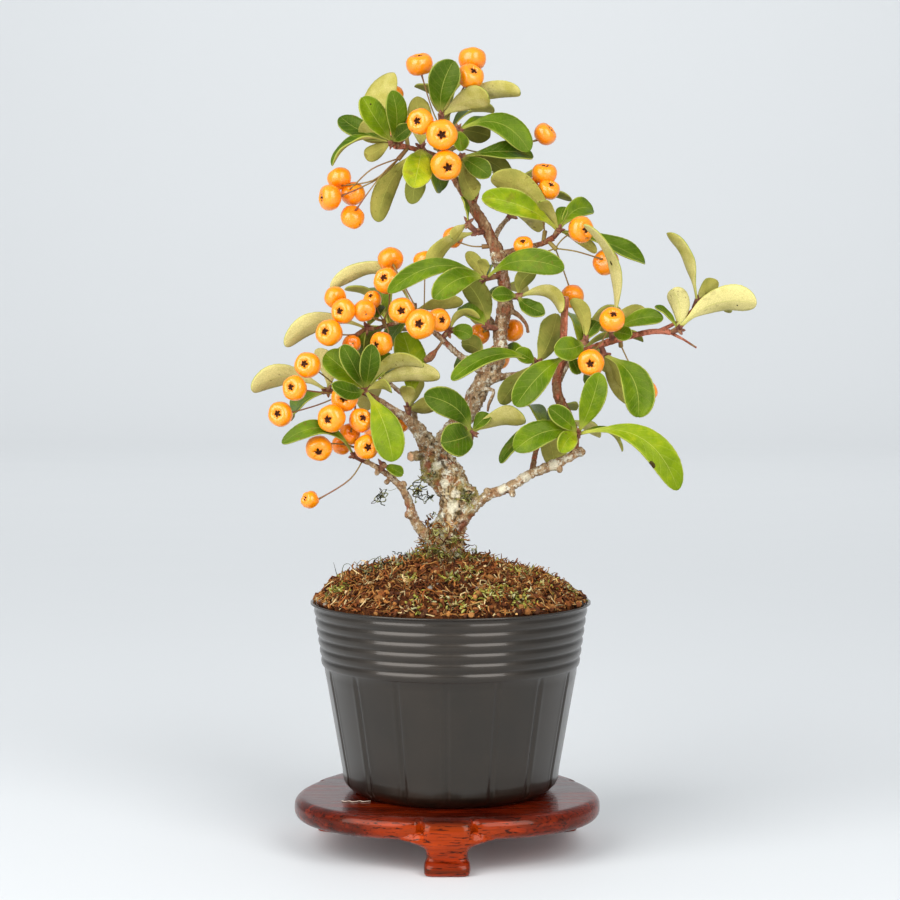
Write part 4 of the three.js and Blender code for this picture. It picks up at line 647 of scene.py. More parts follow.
class FirethornCounts(bpy.types.PropertyGroup):
    """How many small things lie on the soil, and the seed that places them."""

    seed: IntProperty(name="Seed", description="Places the loose small things", default=7, min=0)
    crumbs: IntProperty(name="Crumbs", description="Grains and crumbs on the soil", default=1500, min=0)
    fibres: IntProperty(name="Fibres", description="Peat fibres on the soil", default=4200, min=0)
    moss_tufts: IntProperty(name="Moss tufts", description="Tufts of moss on the soil", default=64, min=0)


class FirethornColours(bpy.types.PropertyGroup):
    """Colours of the tree, its pot and its stand."""

    leaf_dark: colour_setting("Dark leaf", "Upper face of the darkest leaves", "2c4601")
    leaf_green: colour_setting("Green leaf", "Upper face of most leaves", "456001")
    leaf_bright: colour_setting("Bright leaf", "Upper face of the brightest leaves", "6f8403")
    leaf_yellow: colour_setting("Yellowed leaf", "Upper face of a yellowing leaf", "989c14")
    leaf_margin: colour_setting("Leaf margin", "Margin and midrib of a leaf", "b3b355")
    leaf_under_dark: colour_setting("Dark underside", "Underside of a dark leaf", "6c7030")
    leaf_under: colour_setting("Underside", "Underside of a leaf", "a49a4c")
    leaf_under_pale: colour_setting("Pale underside", "Underside of a pale leaf", "cec282")
    berry_light: colour_setting("Berry eye side", "Berry round its eye", "f28e02")
    berry_deep: colour_setting("Berry stalk side", "Berry round its stalk", "ee7c04")
    calyx: colour_setting("Calyx", "Dried star in a berry's eye", "2a120a")
    stalk: colour_setting("Stalk", "Stalk of a berry", "8a783a")
    bark_grey: colour_setting("Old bark", "Bark of the trunk", "a8906a")
    bark_dark: colour_setting("Bark furrow", "Furrows of the old bark", "45301b")
    lichen: colour_setting("Lichen", "Pale crust on the old bark", "dad6c2")
    shoot_red: colour_setting("Young shoot", "Bark of the young shoots", "8e4a2e")
    soil: colour_setting("Soil", "Peat of the soil", "4c2712")
    pot: colour_setting("Pot", "Plastic of the pot", "120f0b")
    lacquer: colour_setting("Lacquered wood", "Wood of the stand", "741802")
    lacquer_dark: colour_setting("Dark grain", "Dark grain of the stand's wood", "220401")
    floor: colour_setting("Floor", "Floor that the object stands on", "dcdedf")


def sizes():
    return bpy.context.scene.firethorn_sizes


def colours():
    return bpy.context.scene.firethorn_colours


def counts():
    return bpy.context.scene.firethorn_counts


def in_mm(length):
    """A setting's length in the millimetres that the tree is set out in."""
    return length / MM


def four_numbers(value):
    """A colour for a node, from its digits, from a setting, or grey from one number."""
    if isinstance(value, (int, float)):
        return (value, value, value, 1)
    return (*(colour(value) if isinstance(value, str) else value), 1)


class Finish:
    """One material, with the nodes that feed its shader."""

    def __init__(self, name, **settings):
        self.material = bpy.data.materials.new(name)
        self.material.use_nodes = True
        self.tree = self.material.node_tree
        self.shader = self.tree.nodes["Principled BSDF"]
        for socket, value in settings.items():
            self.shader.inputs[socket.replace("_", " ")].default_value = value

    def node(self, kind, **settings):
        made = self.tree.nodes.new("ShaderNode" + kind)
        for key, value in settings.items():
            setattr(made, key, value)
        return made

    def feed(self, socket, value):
        """Joins a socket to another node's output, or sets it to a number or a colour."""
        if isinstance(value, bpy.types.NodeSocket):
            self.tree.links.new(value, socket)
        elif isinstance(value, (int, float)):
            socket.default_value = value
        else:
            socket.default_value = four_numbers(value)

    def coordinates(self, scale=(1, 1, 1)):
        """Object coordinates in metres, stretched by a scale."""
        mapping = self.node("Mapping")
        self.feed(mapping.inputs["Vector"], self.node("TexCoord").outputs["Object"])
        mapping.inputs["Scale"].default_value = scale
        return mapping.outputs["Vector"]

    def attribute(self, name):
        return self.node("Attribute", attribute_name=name).outputs["Color"]

    def parts(self, vector):
        """The three numbers of a vector or colour."""
        split = self.node("SeparateXYZ")
        self.feed(split.inputs[0], vector)
        return split.outputs

    def noise(self, scale, vector=None, detail=4.0, roughness=0.55, distortion=0.0):
        made = self.node("TexNoise")
        self.feed(made.inputs["Vector"], self.coordinates() if vector is None else vector)
        for key, value in (("Scale", scale), ("Detail", detail), ("Roughness", roughness)):
            made.inputs[key].default_value = value
        made.inputs["Distortion"].default_value = distortion
        return made.outputs["Fac"]

    def cells(self, scale, feature="F1"):
        """How far a place is from the middle of its cell, or from its edge."""
        made = self.node("TexVoronoi", feature=feature)
        self.feed(made.inputs["Vector"], self.coordinates())
        made.inputs["Scale"].default_value = scale
        return made.outputs["Distance"]

    def sum(self, operation, first, second=0.0, third=0.0):
        """The outcome of a sum on one, two or three numbers."""
        made = self.node("Math", operation=operation)
        for socket, value in zip(made.inputs, (first, second, third)):
            self.feed(socket, value)
        return made.outputs[0]

    def times(self, first, second):
        return self.sum("MULTIPLY", first, second)

    def plus(self, first, second):
        return self.sum("ADD", first, second)

    def scaled(self, value, factor, offset):
        """A value times a factor, with an offset added."""
        return self.sum("MULTIPLY_ADD", value, factor, offset)

    def ramp(self, factor, *stops):
        """A run of colours or heights over a factor: each stop is a position and its value."""
        made = self.node("ValToRGB")
        self.feed(made.inputs[0], factor)
        points = made.color_ramp.elements
        points[0].position = stops[0][0]
        points[1].position = stops[-1][0]
        for position, unused in stops[1:-1]:
            points.new(position)
        for point, (unused, value) in zip(points, stops):
            point.color = four_numbers(value)
        return made.outputs[0]

    def mix(self, factor, first, second):
        """A colour between two others, as far as the factor says."""
        made = self.node("Mix", data_type="RGBA")
        for name, value in (("Factor_Float", factor), ("A_Color", first), ("B_Color", second)):
            socket = next(s for s in made.inputs if s.identifier == name)
            self.feed(socket, value)
        return next(s for s in made.outputs if s.identifier == "Result_Color")

    def finish(self, base, roughness, height=None, relief=0.0001, strength=0.6):
        """Feeds the shader's colour and roughness, and its bump where a height is given."""
        self.feed(self.shader.inputs["Base Color"], base)
        self.feed(self.shader.inputs["Roughness"], roughness)
        if height is not None:
            bump = self.node("Bump")
            bump.inputs["Strength"].default_value = strength
            bump.inputs["Distance"].default_value = relief
            self.feed(bump.inputs["Height"], height)
            self.feed(self.shader.inputs["Normal"], bump.outputs[0])
        return self.material


def leaf_flesh(face, under, tone, along, cloud, broad):
    """The colour of a leaf's blade: its tone sets how dark, bright or yellow it is, partly as painted shade
    and light.
    """
    tint = colours()
    clouds = face.scaled(cloud, 0.7, -0.35)
    drift = face.plus(clouds, face.scaled(broad, 0.8, -0.4))
    shifted = face.plus(tone, drift)
    shifted = face.plus(shifted, face.ramp(along, (0.0, 0.25), (0.5, 0.0)))
    if under:
        return face.ramp(
            shifted,
            (0.08, tint.leaf_under_dark),
            (0.5, tint.leaf_under),
            (0.95, tint.leaf_under_pale),
        )
    return face.ramp(
        shifted,
        (0.05, tint.leaf_dark),
        (0.42, tint.leaf_green),
        (0.78, tint.leaf_bright),
        (1.0, tint.leaf_yellow),
    )


def side_veins(face, along, off_middle, cloud):
    """Slanted side veins: 1 on a vein, 0 between two."""
    slanted = face.scaled(off_middle, -1.6, face.times(along, 9.0))
    slanted = face.plus(slanted, face.times(cloud, 0.7))
    return face.ramp(face.sum("PINGPONG", slanted, 0.5), (0.0, 1.0), (0.1, 0.0))


def leaf_blemishes(face, seen, along, across, off_middle, cloud, spots):
    """Adds brown spots, a burnt margin and the mark that was seen on a leaf to its colour."""
    fleck = face.ramp(face.noise(640, detail=2), (0.66, 0.0), (0.7, 1.0))
    blotch = face.ramp(face.noise(150, detail=3), (0.62, 0.0), (0.7, 0.8))
    spotted = face.times(face.sum("MAXIMUM", fleck, blotch), spots)
    seen = face.mix(face.times(spotted, 0.75), seen, "5e4a1c")
    ragged = face.plus(off_middle, face.times(cloud, 0.35))
    edge_burn = face.ramp(ragged, (1.0, 0.0), (1.0, 1.0))
    seen = face.mix(face.times(edge_burn, face.times(spots, 0.8)), seen, "4a2a10")
    mark_along, mark_across, mark_size = face.parts(face.attribute("leaf_mark"))
    gap_along = face.times(face.sum("SUBTRACT", along, mark_along), 1.6)
    gap_across = face.times(face.sum("SUBTRACT", across, mark_across), 0.6)
    square = face.plus(face.sum("POWER", gap_along, 2.0), face.sum("POWER", gap_across, 2.0))
    gap = face.scaled(cloud, 0.03, face.sum("SQRT", square))
    marked = face.sum("LESS_THAN", gap, face.times(mark_size, 1.5))
    return face.mix(marked, seen, "2c1808")


def leaf_material(name, under):
    """One face of a leaf. The tint attribute holds its tone, its spots and a random share."""
    face = Finish(name, Specular_IOR_Level=0.14 if under else 0.3, Specular_Tint=(1, 0.98, 0.35, 1))
    tone, spots, chance = face.parts(face.attribute("leaf_tint"))
    along, across, unused = face.parts(face.node("UVMap", uv_map="leaf_uv").outputs[0])
    off_middle = face.sum("ABSOLUTE", face.scaled(across, 2.0, -1.0))
    cloud = face.noise(260, detail=4)
    broad = face.noise(75, detail=2)
    flesh = leaf_flesh(face, under, tone, along, cloud, broad)
    vein = side_veins(face, along, off_middle, cloud)
    net = face.cells(1500 if under else 1300, feature="DISTANCE_TO_EDGE")
    net_line = face.ramp(net, (0.0, 1.0), (0.12, 0.0))
    veined = face.sum("MAXIMUM", vein, face.times(net_line, 0.4))
    margin = colours().leaf_margin
    seen = face.mix(face.times(veined, 0.14 if under else 0.11), flesh, margin)
    if under:
        seen = face.mix(face.times(net_line, 0.3), seen, "6f6a2c")
    seen = face.mix(face.ramp(along, (0.03, 0.7), (0.22, 0.0)), seen, margin)
    width = face.scaled(along, -0.03, 0.052)
    rib = face.sum("DIVIDE", off_middle, width)
    midrib = face.ramp(rib, (0.4, 0.55 if under else 0.42), (0.9, 0.0))
    seen = face.mix(midrib, seen, margin)
    # The pale line along the edge is partly the margin's own colour and partly a painted highlight where the
    # toothed edge catches the light.
    seen = face.mix(face.ramp(off_middle, (0.93, 0.0), (0.985, 0.62)), seen, margin)
    seen = leaf_blemishes(face, seen, along, across, off_middle, cloud, spots)
    seen = face.mix(face.times(chance, 0.12), seen, "465f10")
    rough = face.ramp(cloud, (0.3, 0.6 if under else 0.28), (0.7, 0.72 if under else 0.42))
    ridge = face.times(midrib, 1.5 if under else -1.5)
    height = face.scaled(veined, 0.8 if under else -0.8, ridge)
    height = face.scaled(broad, 2.5, height)
    return face.finish(seen, rough, height, 0.00012, 0.6)


def leaf_upper():
    return leaf_material("leaf_upper_face", False)


def leaf_under():
    return leaf_material("leaf_underside", True)


def shoot_bark():
    """The short woody stems of the sprays and bunches, with red-brown bud scales."""
    bark = Finish("shoot_bark", Specular_IOR_Level=0.3)
    cloud = bark.noise(420, detail=5)
    seen = bark.ramp(cloud, (0.3, "4a2a20"), (0.5, "7c4a38"), (0.7, "9c8058"))
    return bark.finish(seen, bark.ramp(cloud, (0.3, 0.5), (0.7, 0.75)), cloud, 0.0003)


def berry_skin():
    """Glossy orange-yellow skin, deeper towards the stalk. The tint holds the eye's share and a shift."""
    tint = colours()
    skin = Finish(
        "berry_skin", Specular_IOR_Level=0.4, Coat_Weight=0.5, Coat_Roughness=0.14, Subsurface_Weight=0.12,
        Subsurface_Scale=0.002,
    )
    toward_eye, shift, freckled = skin.parts(skin.attribute("berry_tint"))
    cloud = skin.noise(260, detail=4)
    share = skin.plus(toward_eye, skin.scaled(cloud, 0.5, -0.25))
    share = skin.plus(share, shift)
    seen = skin.ramp(share, (0.1, tint.berry_deep), (0.42, "f28a04"), (0.9, tint.berry_light))
    freckle = skin.ramp(skin.cells(1500), (0.1, 1.0), (0.2, 0.0))
    seen = skin.mix(skin.times(freckle, 0.3), seen, "ffd878")
    scar = skin.ramp(skin.noise(330, detail=2), (0.66, 0.0), (0.71, 1.0))
    seen = skin.mix(skin.times(scar, freckled), seen, "8a4a12")
    return skin.finish(seen, skin.ramp(cloud, (0.3, 0.24), (0.7, 0.34)), cloud, 0.00006, 0.25)


def berry_calyx():
    """The dried brown star in a berry's eye."""
    dried = Finish("berry_calyx", Specular_IOR_Level=0.2)
    grain = dried.noise(1800, detail=4)
    seen = dried.ramp(grain, (0.35, colours().calyx), (0.75, "5e2f16"))
    return dried.finish(seen, dried.ramp(grain, (0.3, 0.7), (0.7, 0.9)), grain, 0.0002)


def berry_stalk():
    """The green-brown to reddish skin of a berry's stalk."""
    stalk = Finish("berry_stalk", Specular_IOR_Level=0.3)
    redness = stalk.noise(60, detail=2)
    seen = stalk.ramp(redness, (0.4, colours().stalk), (0.66, "7d4a34"))
    fine = stalk.noise(900, detail=3)
    return stalk.finish(seen, stalk.ramp(fine, (0.3, 0.45), (0.7, 0.65)), fine, 0.00008)


# Colours of the rust, chalk and shade patches on the bark.
PATCH_COLOURS = ("7c3a1c", "ded6bc", "33261a")


def old_bark(wood, streak, mottle):
    """The colour of grey old bark, with rusty patches."""
    tint = colours()
    old = wood.ramp(
        wood.scaled(streak, 0.55, wood.times(mottle, 0.45)),
        (0.36, tint.bark_dark),
        (0.44, "7a5836"),
        (0.52, tint.bark_grey),
        (0.62, "cbbd9c"),
    )
    rusty = wood.ramp(wood.noise(240, detail=6), (0.54, 0.0), (0.62, 0.75))
    return wood.mix(rusty, old, "94542c")


def young_bark(wood, streak, youth):
    """The colour of young bark: tan where it is older, and red where it is newest."""
    return wood.ramp(
        wood.plus(youth, wood.scaled(streak, 2.0, -0.94)),
        (0.12, "c4ac88"),
        (0.3, "9c7c58"),
        (0.52, "7c583a"),
        (0.82, colours().shoot_red),
        (1.0, "bd7258"),
    )


def bark():
    """Bark. One attribute holds its youth, its moss and its furrows, and another its patches."""
    tint = colours()
    wood = Finish("bark", Specular_IOR_Level=0.25)
    youth, mossy, depth = wood.parts(wood.attribute("bark_tint"))
    mottle = wood.noise(620, detail=6, roughness=0.68)
    streak = wood.noise(1, wood.coordinates((520, 520, 150)), detail=5, roughness=0.6)
    crust = wood.noise(520, detail=7, roughness=0.72)
    old = old_bark(wood, streak, mottle)
    young = young_bark(wood, streak, youth)
    seen = wood.mix(wood.ramp(youth, (0.1, 0.0), (0.35, 1.0)), old, young)
    crusted = wood.ramp(crust, (0.51, 0.0), (0.58, 0.85))
    crusted = wood.times(crusted, wood.ramp(youth, (0.26, 1.0), (0.42, 0.0)))
    seen = wood.mix(crusted, seen, tint.lichen)
    dot = wood.ramp(wood.cells(900), (0.15, 0.4), (0.25, 0.0))
    pale_dot = wood.times(dot, wood.ramp(youth, (0.2, 0.0), (0.4, 1.0)))
    seen = wood.mix(pale_dot, seen, "b89a78")
    # The furrows darken with their depth: partly the darker bark in them, partly painted shade.
    seen = wood.mix(wood.ramp(depth, (0.2, 0.85), (0.42, 0.0)), seen, tint.bark_dark)
    pit = wood.ramp(wood.cells(1500), (0.15, 0.9), (0.34, 0.0))
    seen = wood.mix(wood.times(pit, 0.6), seen, "33230f")
    ragged = wood.scaled(mottle, 2.4, -1.2)
    for nearness, digits in zip(wood.parts(wood.attribute("bark_patch")), PATCH_COLOURS):
        share = wood.ramp(wood.plus(nearness, ragged), (0.35, 0.0), (0.6, 0.8))
        seen = wood.mix(wood.times(share, nearness), seen, digits)
    green = wood.mix(wood.noise(900, detail=3), "9a9436", "5c5a1a")
    patch = wood.ramp(wood.noise(330, detail=5), (0.44, 0.0), (0.53, 1.0))
    seen = wood.mix(wood.times(patch, mossy), seen, green)
    seen = wood.mix(wood.sum("LESS_THAN", youth, CUT / 2), seen, "dcae86")
    height = wood.plus(wood.times(crust, 1.2), wood.scaled(pit, -0.5, streak))
    return wood.finish(seen, wood.ramp(mottle, (0.3, 0.7), (0.7, 0.88)), height, 0.0007, 0.9)


def speckled(name):
    """Loose matter whose own colour is kept in the speck_colour attribute of each piece."""
    matter = Finish(name, Specular_IOR_Level=0.2)
    own = matter.attribute("speck_colour")
    grain = matter.noise(1400, detail=5)
    seen = matter.mix(matter.ramp(grain, (0.3, 0.75), (0.7, 0.0)), own, "22120a")
    seen = matter.mix(0.6, own, seen)
    return matter.finish(seen, matter.ramp(grain, (0.3, 0.75), (0.7, 0.95)), grain, 0.0002)


def peat():
    """Dark crumbly peat."""
    matter = Finish("peat", Specular_IOR_Level=0.15)
    grain = matter.noise(700, detail=8, roughness=0.7)
    broad = matter.noise(90, detail=3)
    seen = matter.ramp(grain, (0.36, "150804"), (0.5, colours().soil), (0.66, "945a2a"))
    seen = matter.mix(matter.ramp(broad, (0.45, 0.0), (0.65, 0.5)), seen, "6a3a1c")
    return matter.finish(seen, matter.ramp(grain, (0.3, 0.85), (0.7, 0.98)), grain, 0.001, 1.0)


def pot_plastic():
    """Thin black plastic with a soft shine, fine scuffs and a little dust."""
    plastic = Finish(
        "pot_plastic", Specular_IOR_Level=0.42, Specular_Tint=(1, 0.9, 0.8, 1), Coat_Weight=0.4,
        Coat_Roughness=0.1, Coat_Tint=(1, 0.96, 0.92, 1),
    )
    scuff = plastic.noise(1, plastic.coordinates((2600, 2600, 160)), detail=3)
    cloud = plastic.noise(55, detail=4)
    dust = plastic.ramp(plastic.noise(1100, detail=4), (0.72, 0.0), (0.8, 0.25))
    seen = plastic.mix(plastic.ramp(cloud, (0.35, 0.0), (0.7, 0.3)), colours().pot, "2a2119")
    seen = plastic.mix(dust, seen, "8a7f70")
    rough = plastic.ramp(cloud, (0.3, 0.26), (0.7, 0.34))
    rough = plastic.plus(rough, plastic.times(scuff, 0.06))
    return plastic.finish(seen, rough, scuff, 0.00003, 0.25)


def lacquered_wood():
    """Red-brown wood with short dark pores along its grain, under a clear glossy coat."""
    tint = colours()
    wood = Finish(
        "lacquered_wood", Specular_IOR_Level=0.22, Specular_Tint=(1, 0.4, 0.2, 1), Coat_Weight=0.26,
        Coat_Roughness=0.08,
    )
    flow = wood.noise(1, wood.coordinates((26, 240, 380)), detail=6, distortion=0.8)
    pores = wood.noise(1, wood.coordinates((190, 1500, 1900)), detail=3)
    broad = wood.noise(40, detail=3)
    seen = wood.ramp(
        flow,
        (0.32, tint.lacquer_dark),
        (0.43, "4e0f02"),
        (0.56, tint.lacquer),
        (0.74, "b83c06"),
    )
    seen = wood.mix(wood.ramp(broad, (0.42, 0.0), (0.68, 0.5)), seen, "8e2804")
    # Towards the fronts of the feet the wood is more orange, and away from them it is darker, the board's top
    # included.
    near_foot, unused, unused_too = wood.parts(wood.attribute("wood_tint"))
    seen = wood.mix(wood.times(near_foot, 0.45), seen, "aa3c04")
    seen = wood.mix(wood.ramp(near_foot, (0.0, 0.5), (0.4, 0.0)), seen, tint.lacquer_dark)
    seen = wood.mix(wood.ramp(pores, (0.56, 0.0), (0.63, 0.95)), seen, tint.lacquer_dark)
    return wood.finish(seen, wood.ramp(flow, (0.3, 0.22), (0.7, 0.32)), pores, 0.00008, 0.25)


def pale_floor():
    """The plain pale floor and backdrop."""
    ground = Finish("pale_floor", Specular_IOR_Level=0.2)
    fine = ground.noise(9, detail=3)
    seen = ground.mix(ground.ramp(fine, (0.3, 0.0), (0.7, 0.05)), colours().floor, "dfe3e6")
    return ground.finish(seen, ground.ramp(fine, (0.3, 0.55), (0.7, 0.65)))


# Small shapes are made one at a time and poured together this many vertices at a time, which is quick.
BATCH = 2500


class Gathering:
    """Gathers small shapes, each made on its own, into one."""

    def __init__(self):
        self.whole = bmesh.new()
        self.batch = bmesh.new()

    def take(self, small):
        self.pour(small, self.batch)
        if len(self.batch.verts) > BATCH:
            self.pour(self.batch, self.whole)
            self.batch = bmesh.new()

    def pour(self, source, target):
        passing = bpy.data.meshes.new("passing")
        source.to_mesh(passing)
        source.free()
        target.from_mesh(passing)
        bpy.data.meshes.remove(passing)

    def mesh(self):
        self.pour(self.batch, self.whole)
        return self.whole


def make_piece(name, shape, materials, nodes=(), smooth=True):
    """Makes a piece of a shape in tree millimetres, in place of the nodes that it stands for."""
    if not shape.faces:
        raise RuntimeError(f"{name} has no faces")
    shape.transform(Matrix.Translation(POT_AXIS) @ Matrix.Scale(MM, 4))
    for face in shape.faces:
        face.smooth = smooth
    mesh = bpy.data.meshes.new(name)
    shape.to_mesh(mesh)
    shape.free()
    for material in materials:
        mesh.materials.append(material)
    piece = bpy.data.objects.new(name, mesh)
    bpy.context.scene.collection.objects.link(piece)
    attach(piece, BODY)
    if nodes:
        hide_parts(*nodes)
    return piece


def smooth_line(values, steps):
    """A smooth run through a row of points or numbers, with steps between each two."""
    run = []
    for i in range(len(values) - 1):
        before, first, second = values[max(i - 1, 0)], values[i], values[i + 1]
        after = values[min(i + 2, len(values) - 1)]
        for k in range(steps):
            t = k / steps
            square = (before * 2 - first * 5 + second * 4 - after) * (t * t)
            cube = (first * 3 - before - second * 3 + after) * (t * t * t)
            run.append((first * 2 + (second - before) * t + square + cube) * 0.5)
    return run + [values[-1]]


def cross_directions(points):
    """Two level directions across a row of points, carried along it without a twist."""
    ways = []
    for i in range(len(points)):
        ways.append((points[min(i + 1, len(points) - 1)] - points[max(i - 1, 0)]).normalized())
    across = ways[0].cross(UP if abs(ways[0].z) < 0.9 else TO_VIEWER).normalized()
    pairs = []
    for way in ways:
        across = (across - way * across.dot(way)).normalized()
        pairs.append((across, way.cross(across)))
    return pairs


def tube(points, radii, sides, material=0):
    """A closed round tube through a row of points."""
    small = bmesh.new()
    bmesh.ops.create_cone(small, cap_ends=True, segments=sides, radius1=1, radius2=1, depth=1)
    upright = [e for e in small.edges if abs(e.verts[0].co.z - e.verts[1].co.z) > 0.5]
    if len(points) > 2:
        bmesh.ops.subdivide_edges(small, edges=upright, cuts=len(points) - 2, use_grid_fill=True)
    pairs = cross_directions(points)
    for vert in small.verts:
        ring = round((vert.co.z + 0.5) * (len(points) - 1))
        across, over = pairs[ring]
        vert.co = points[ring] + (across * vert.co.x + over * vert.co.y) * radii[ring]
    for face in small.faces:
        face.material_index = material
    return small


def turned(profile, steps):
    """A closed shape turned from a profile of radii and heights, with steps round it."""
    small = bmesh.new()
    row = [small.verts.new((radius, 0, height)) for radius, height in profile]
    edges = [small.edges.new(pair) for pair in zip(row, row[1:])]
    bmesh.ops.spin(
        small, geom=row + edges, axis=(0, 0, 1), cent=(0, 0, 0), angle=math.tau, steps=steps, use_merge=True
    )
    bmesh.ops.remove_doubles(small, verts=small.verts, dist=0.0005)
    bmesh.ops.recalc_face_normals(small, faces=small.faces)
    return small


def scattered(chance, reach):
    """A random step, up to a reach each way."""
    return Vector([chance.uniform(-reach, reach) for unused in range(3)])


def blurred(chance, spread):
    """A random step, mostly within a spread."""
    return Vector([chance.gauss(0, spread) for unused in range(3)])


def coloured(small, name, values):
    """Writes the same three numbers on every corner of a small shape."""
    layer = small.verts.layers.float_color.new(name)
    for vert in small.verts:
        vert[layer] = (*values, 1)
    return small


# Half width of a blade as a share of its greatest, along its length.
LONG_OUTLINE = (
    (0, 0.09), (0.1, 0.11), (0.2, 0.2), (0.3, 0.44), (0.4, 0.68), (0.52, 0.9), (0.64, 1.0), (0.74, 1.0),
    (0.82, 0.94), (0.9, 0.77), (0.95, 0.57), (0.985, 0.32), (1, 0.05),
)
SHORT_OUTLINE = (
    (0, 0.1), (0.1, 0.16), (0.22, 0.42), (0.36, 0.68), (0.5, 0.88), (0.64, 0.98), (0.76, 0.97),
    (0.86, 0.83), (0.94, 0.56), (0.98, 0.32), (1, 0.05),
)
SHORT_LENGTH = 22
LEAF_STEPS = 36
LEAF_COLUMNS = 8
# Rows of a leaf's blade crowd towards its tip by this power.
TIP_CROWDING = 1.25
# A spray's first finish is that of its leaves' upper faces. These are the others.
UNDER, STEM = 1, 2
# A leaf's tone is partly its own colour and partly painted light: the dark tone also paints shade on leaves
# that lie in shade, and the pale tone paints light on lit undersides.
TONES = {"dark": 0.1, "teal": 0.16, "green": 0.4, "olive": 0.58, "bright": 0.7, "yellow": 0.92, "pale": 0.95}
PALEST_UPPER = 0.85


def leaf(base, tip, face, width, bend, drift, tone, chance, mark=(0, 0, 0)):
    """One leaf from base to tip, folded along its midrib, with small teeth and a waved margin.

    The normal of its upper side is face. bend arches it towards that side, and drift is how far
    its middle lies off the straight line, both as shares of its length.
    """
    span = tip - base
    length = span.length
    way = span.normalized()
    bow = face * bend + drift
    outline = SHORT_OUTLINE if length < SHORT_LENGTH else LONG_OUTLINE
    thickness = in_mm(sizes().leaf_thickness)
    fold = sizes().leaf_fold * chance.uniform(0.4, 1.4)
    wave = chance.uniform(0.04, 0.16)
    waves = chance.uniform(1.2, 2.2)
    phase = chance.uniform(0, math.tau)
    curl = chance.uniform(-0.01, 0.035)
    small = bmesh.new()
    small.loops.layers.uv.new("leaf_uv")
    bmesh.ops.create_grid(
        small, x_segments=LEAF_STEPS, y_segments=LEAF_COLUMNS, size=0.5, calc_uvs=True
    )
    upper = list(small.faces)
    for vert in small.verts:
        step = round((vert.co.x + 0.5) * LEAF_STEPS)
        t = 1 - (1 - step / LEAF_STEPS) ** TIP_CROWDING
        off_middle = -2 * vert.co.y
        spot = base + span * t + bow * (4 * t * (1 - t) * length)
        tangent = (way + bow * (4 * (1 - 2 * t))).normalized()
        side = tangent.cross(face).normalized()
        above = side.cross(tangent)
        tooth = sizes().leaf_tooth * (1 if step % 2 else -1) * smooth_step(0.25, 0.4, t)
        tooth *= abs(off_middle) ** 6
        half = curve_at(outline, t) * width / 2 * (1 + tooth)
        rise = fold * abs(off_middle) ** 1.5 * half
        side_phase = phase if off_middle > 0 else phase + 2.1
        rise += wave * off_middle ** 2 * math.sin(waves * math.tau * t + side_phase) * half
        rise -= curl * smooth_step(0.7, 1, t) * length
        vert.co = spot + side * (off_middle * half) + above * (rise + thickness / 2)
    small.normal_update()
    made = bmesh.ops.solidify(small, geom=upper, thickness=thickness)
    for part in made["geom"]:
        if isinstance(part, bmesh.types.BMFace):
            part.material_index = UNDER
    spots = max(0, chance.uniform(-0.9, 1))
    coloured(small, "leaf_mark", mark)
    return coloured(small, "leaf_tint", (tone, spots, chance.random()))


KNOB_RADIUS = 1.15
KNOB_ROOT = 0.55


def seen_leaf(hub, row, chance):
    """A leaf as it is seen from the front.

    The row is its tip's x, z and depth, its width, tilt, bend and sway, and its tone. tilt turns its
    upper face from the viewer (0) over upwards (90) to the far side (180), and sway bows it sideways.
    """
    x, z, depth, width, tilt, bend, sway, word = row
    tip = place(x, z, depth)
    way = (tip - hub).normalized()
    base = hub + way * KNOB_ROOT
    front = (TO_VIEWER - way * TO_VIEWER.dot(way)).normalized()
    right = way.cross(front)
    upward = right if right.x * 0.2 + right.z >= 0 else -right
    turn = math.radians(tilt)
    face = front * math.cos(turn) + upward * math.sin(turn)
    tone = TONES[word] + chance.uniform(-0.05, 0.05)
    if word == "pale" and tilt < 90:
        tone = PALEST_UPPER
    mark = LEAF_MARKS.get((x, z), (0, 0, 0))
    return leaf(base, tip, face, width, bend, right * sway, tone, chance, mark)


def plain_tinted(small):
    """A stem in a leafy spray: it has the layers that the leaves have."""
    small.loops.layers.uv.new("leaf_uv")
    coloured(small, "leaf_mark", (0, 0, 0))
    return coloured(small, "leaf_tint", (0, 0, 0))


BUD_SCALES = 5


def bud_scales(hub, way, chance):
    """Short pointed bud scales round the knob that leaves grow from."""
    made = []
    for unused in range(BUD_SCALES):
        reach = (way * 0.7 + scattered(chance, 1).normalized()).normalized()
        ends = [hub + reach * 0.3, hub + reach * chance.uniform(1.4, 2.2), hub + reach * 2.6]
        made.append(tube(ends, [0.75, 0.5, 0.08], 5, STEM))
    return made


def spray_stem(root, joints, chance):
    """The woody stem of a spray, from the middle of the wood that it grows from to its last joint."""
    wood = place(*root[:3])
    way = (joints[0] - wood).normalized()
    points = [wood, *joints]
    points[-1] = joints[-1] + way * (0.6 * KNOB_RADIUS)
    run = smooth_line(points, 4)
    radii = [mix(0.75, KNOB_RADIUS, k / (len(run) - 1)) for k in range(len(run))]
    parts = [tube(run, radii, 8, STEM)]
    for joint in joints:
        parts += bud_scales(joint, way, chance)
    return parts


def make_sprays(materials):
    """Every leafy spray that is seen from the front."""
    for number, (name, row) in enumerate(SPRAYS.items()):
        chance = random.Random(counts().seed * 1000 + number)
        joints = [place(*joint) for joint in row["joints"]]
        whole = Gathering()
        for part in spray_stem(row["root"], joints, chance):
            whole.take(plain_tinted(part))
        for joint, *rest in row["leaves"]:
            whole.take(seen_leaf(joints[joint], rest, chance))
        make_piece(f"spray_{name}", whole.mesh(), materials, [f"leaves_{name}"])


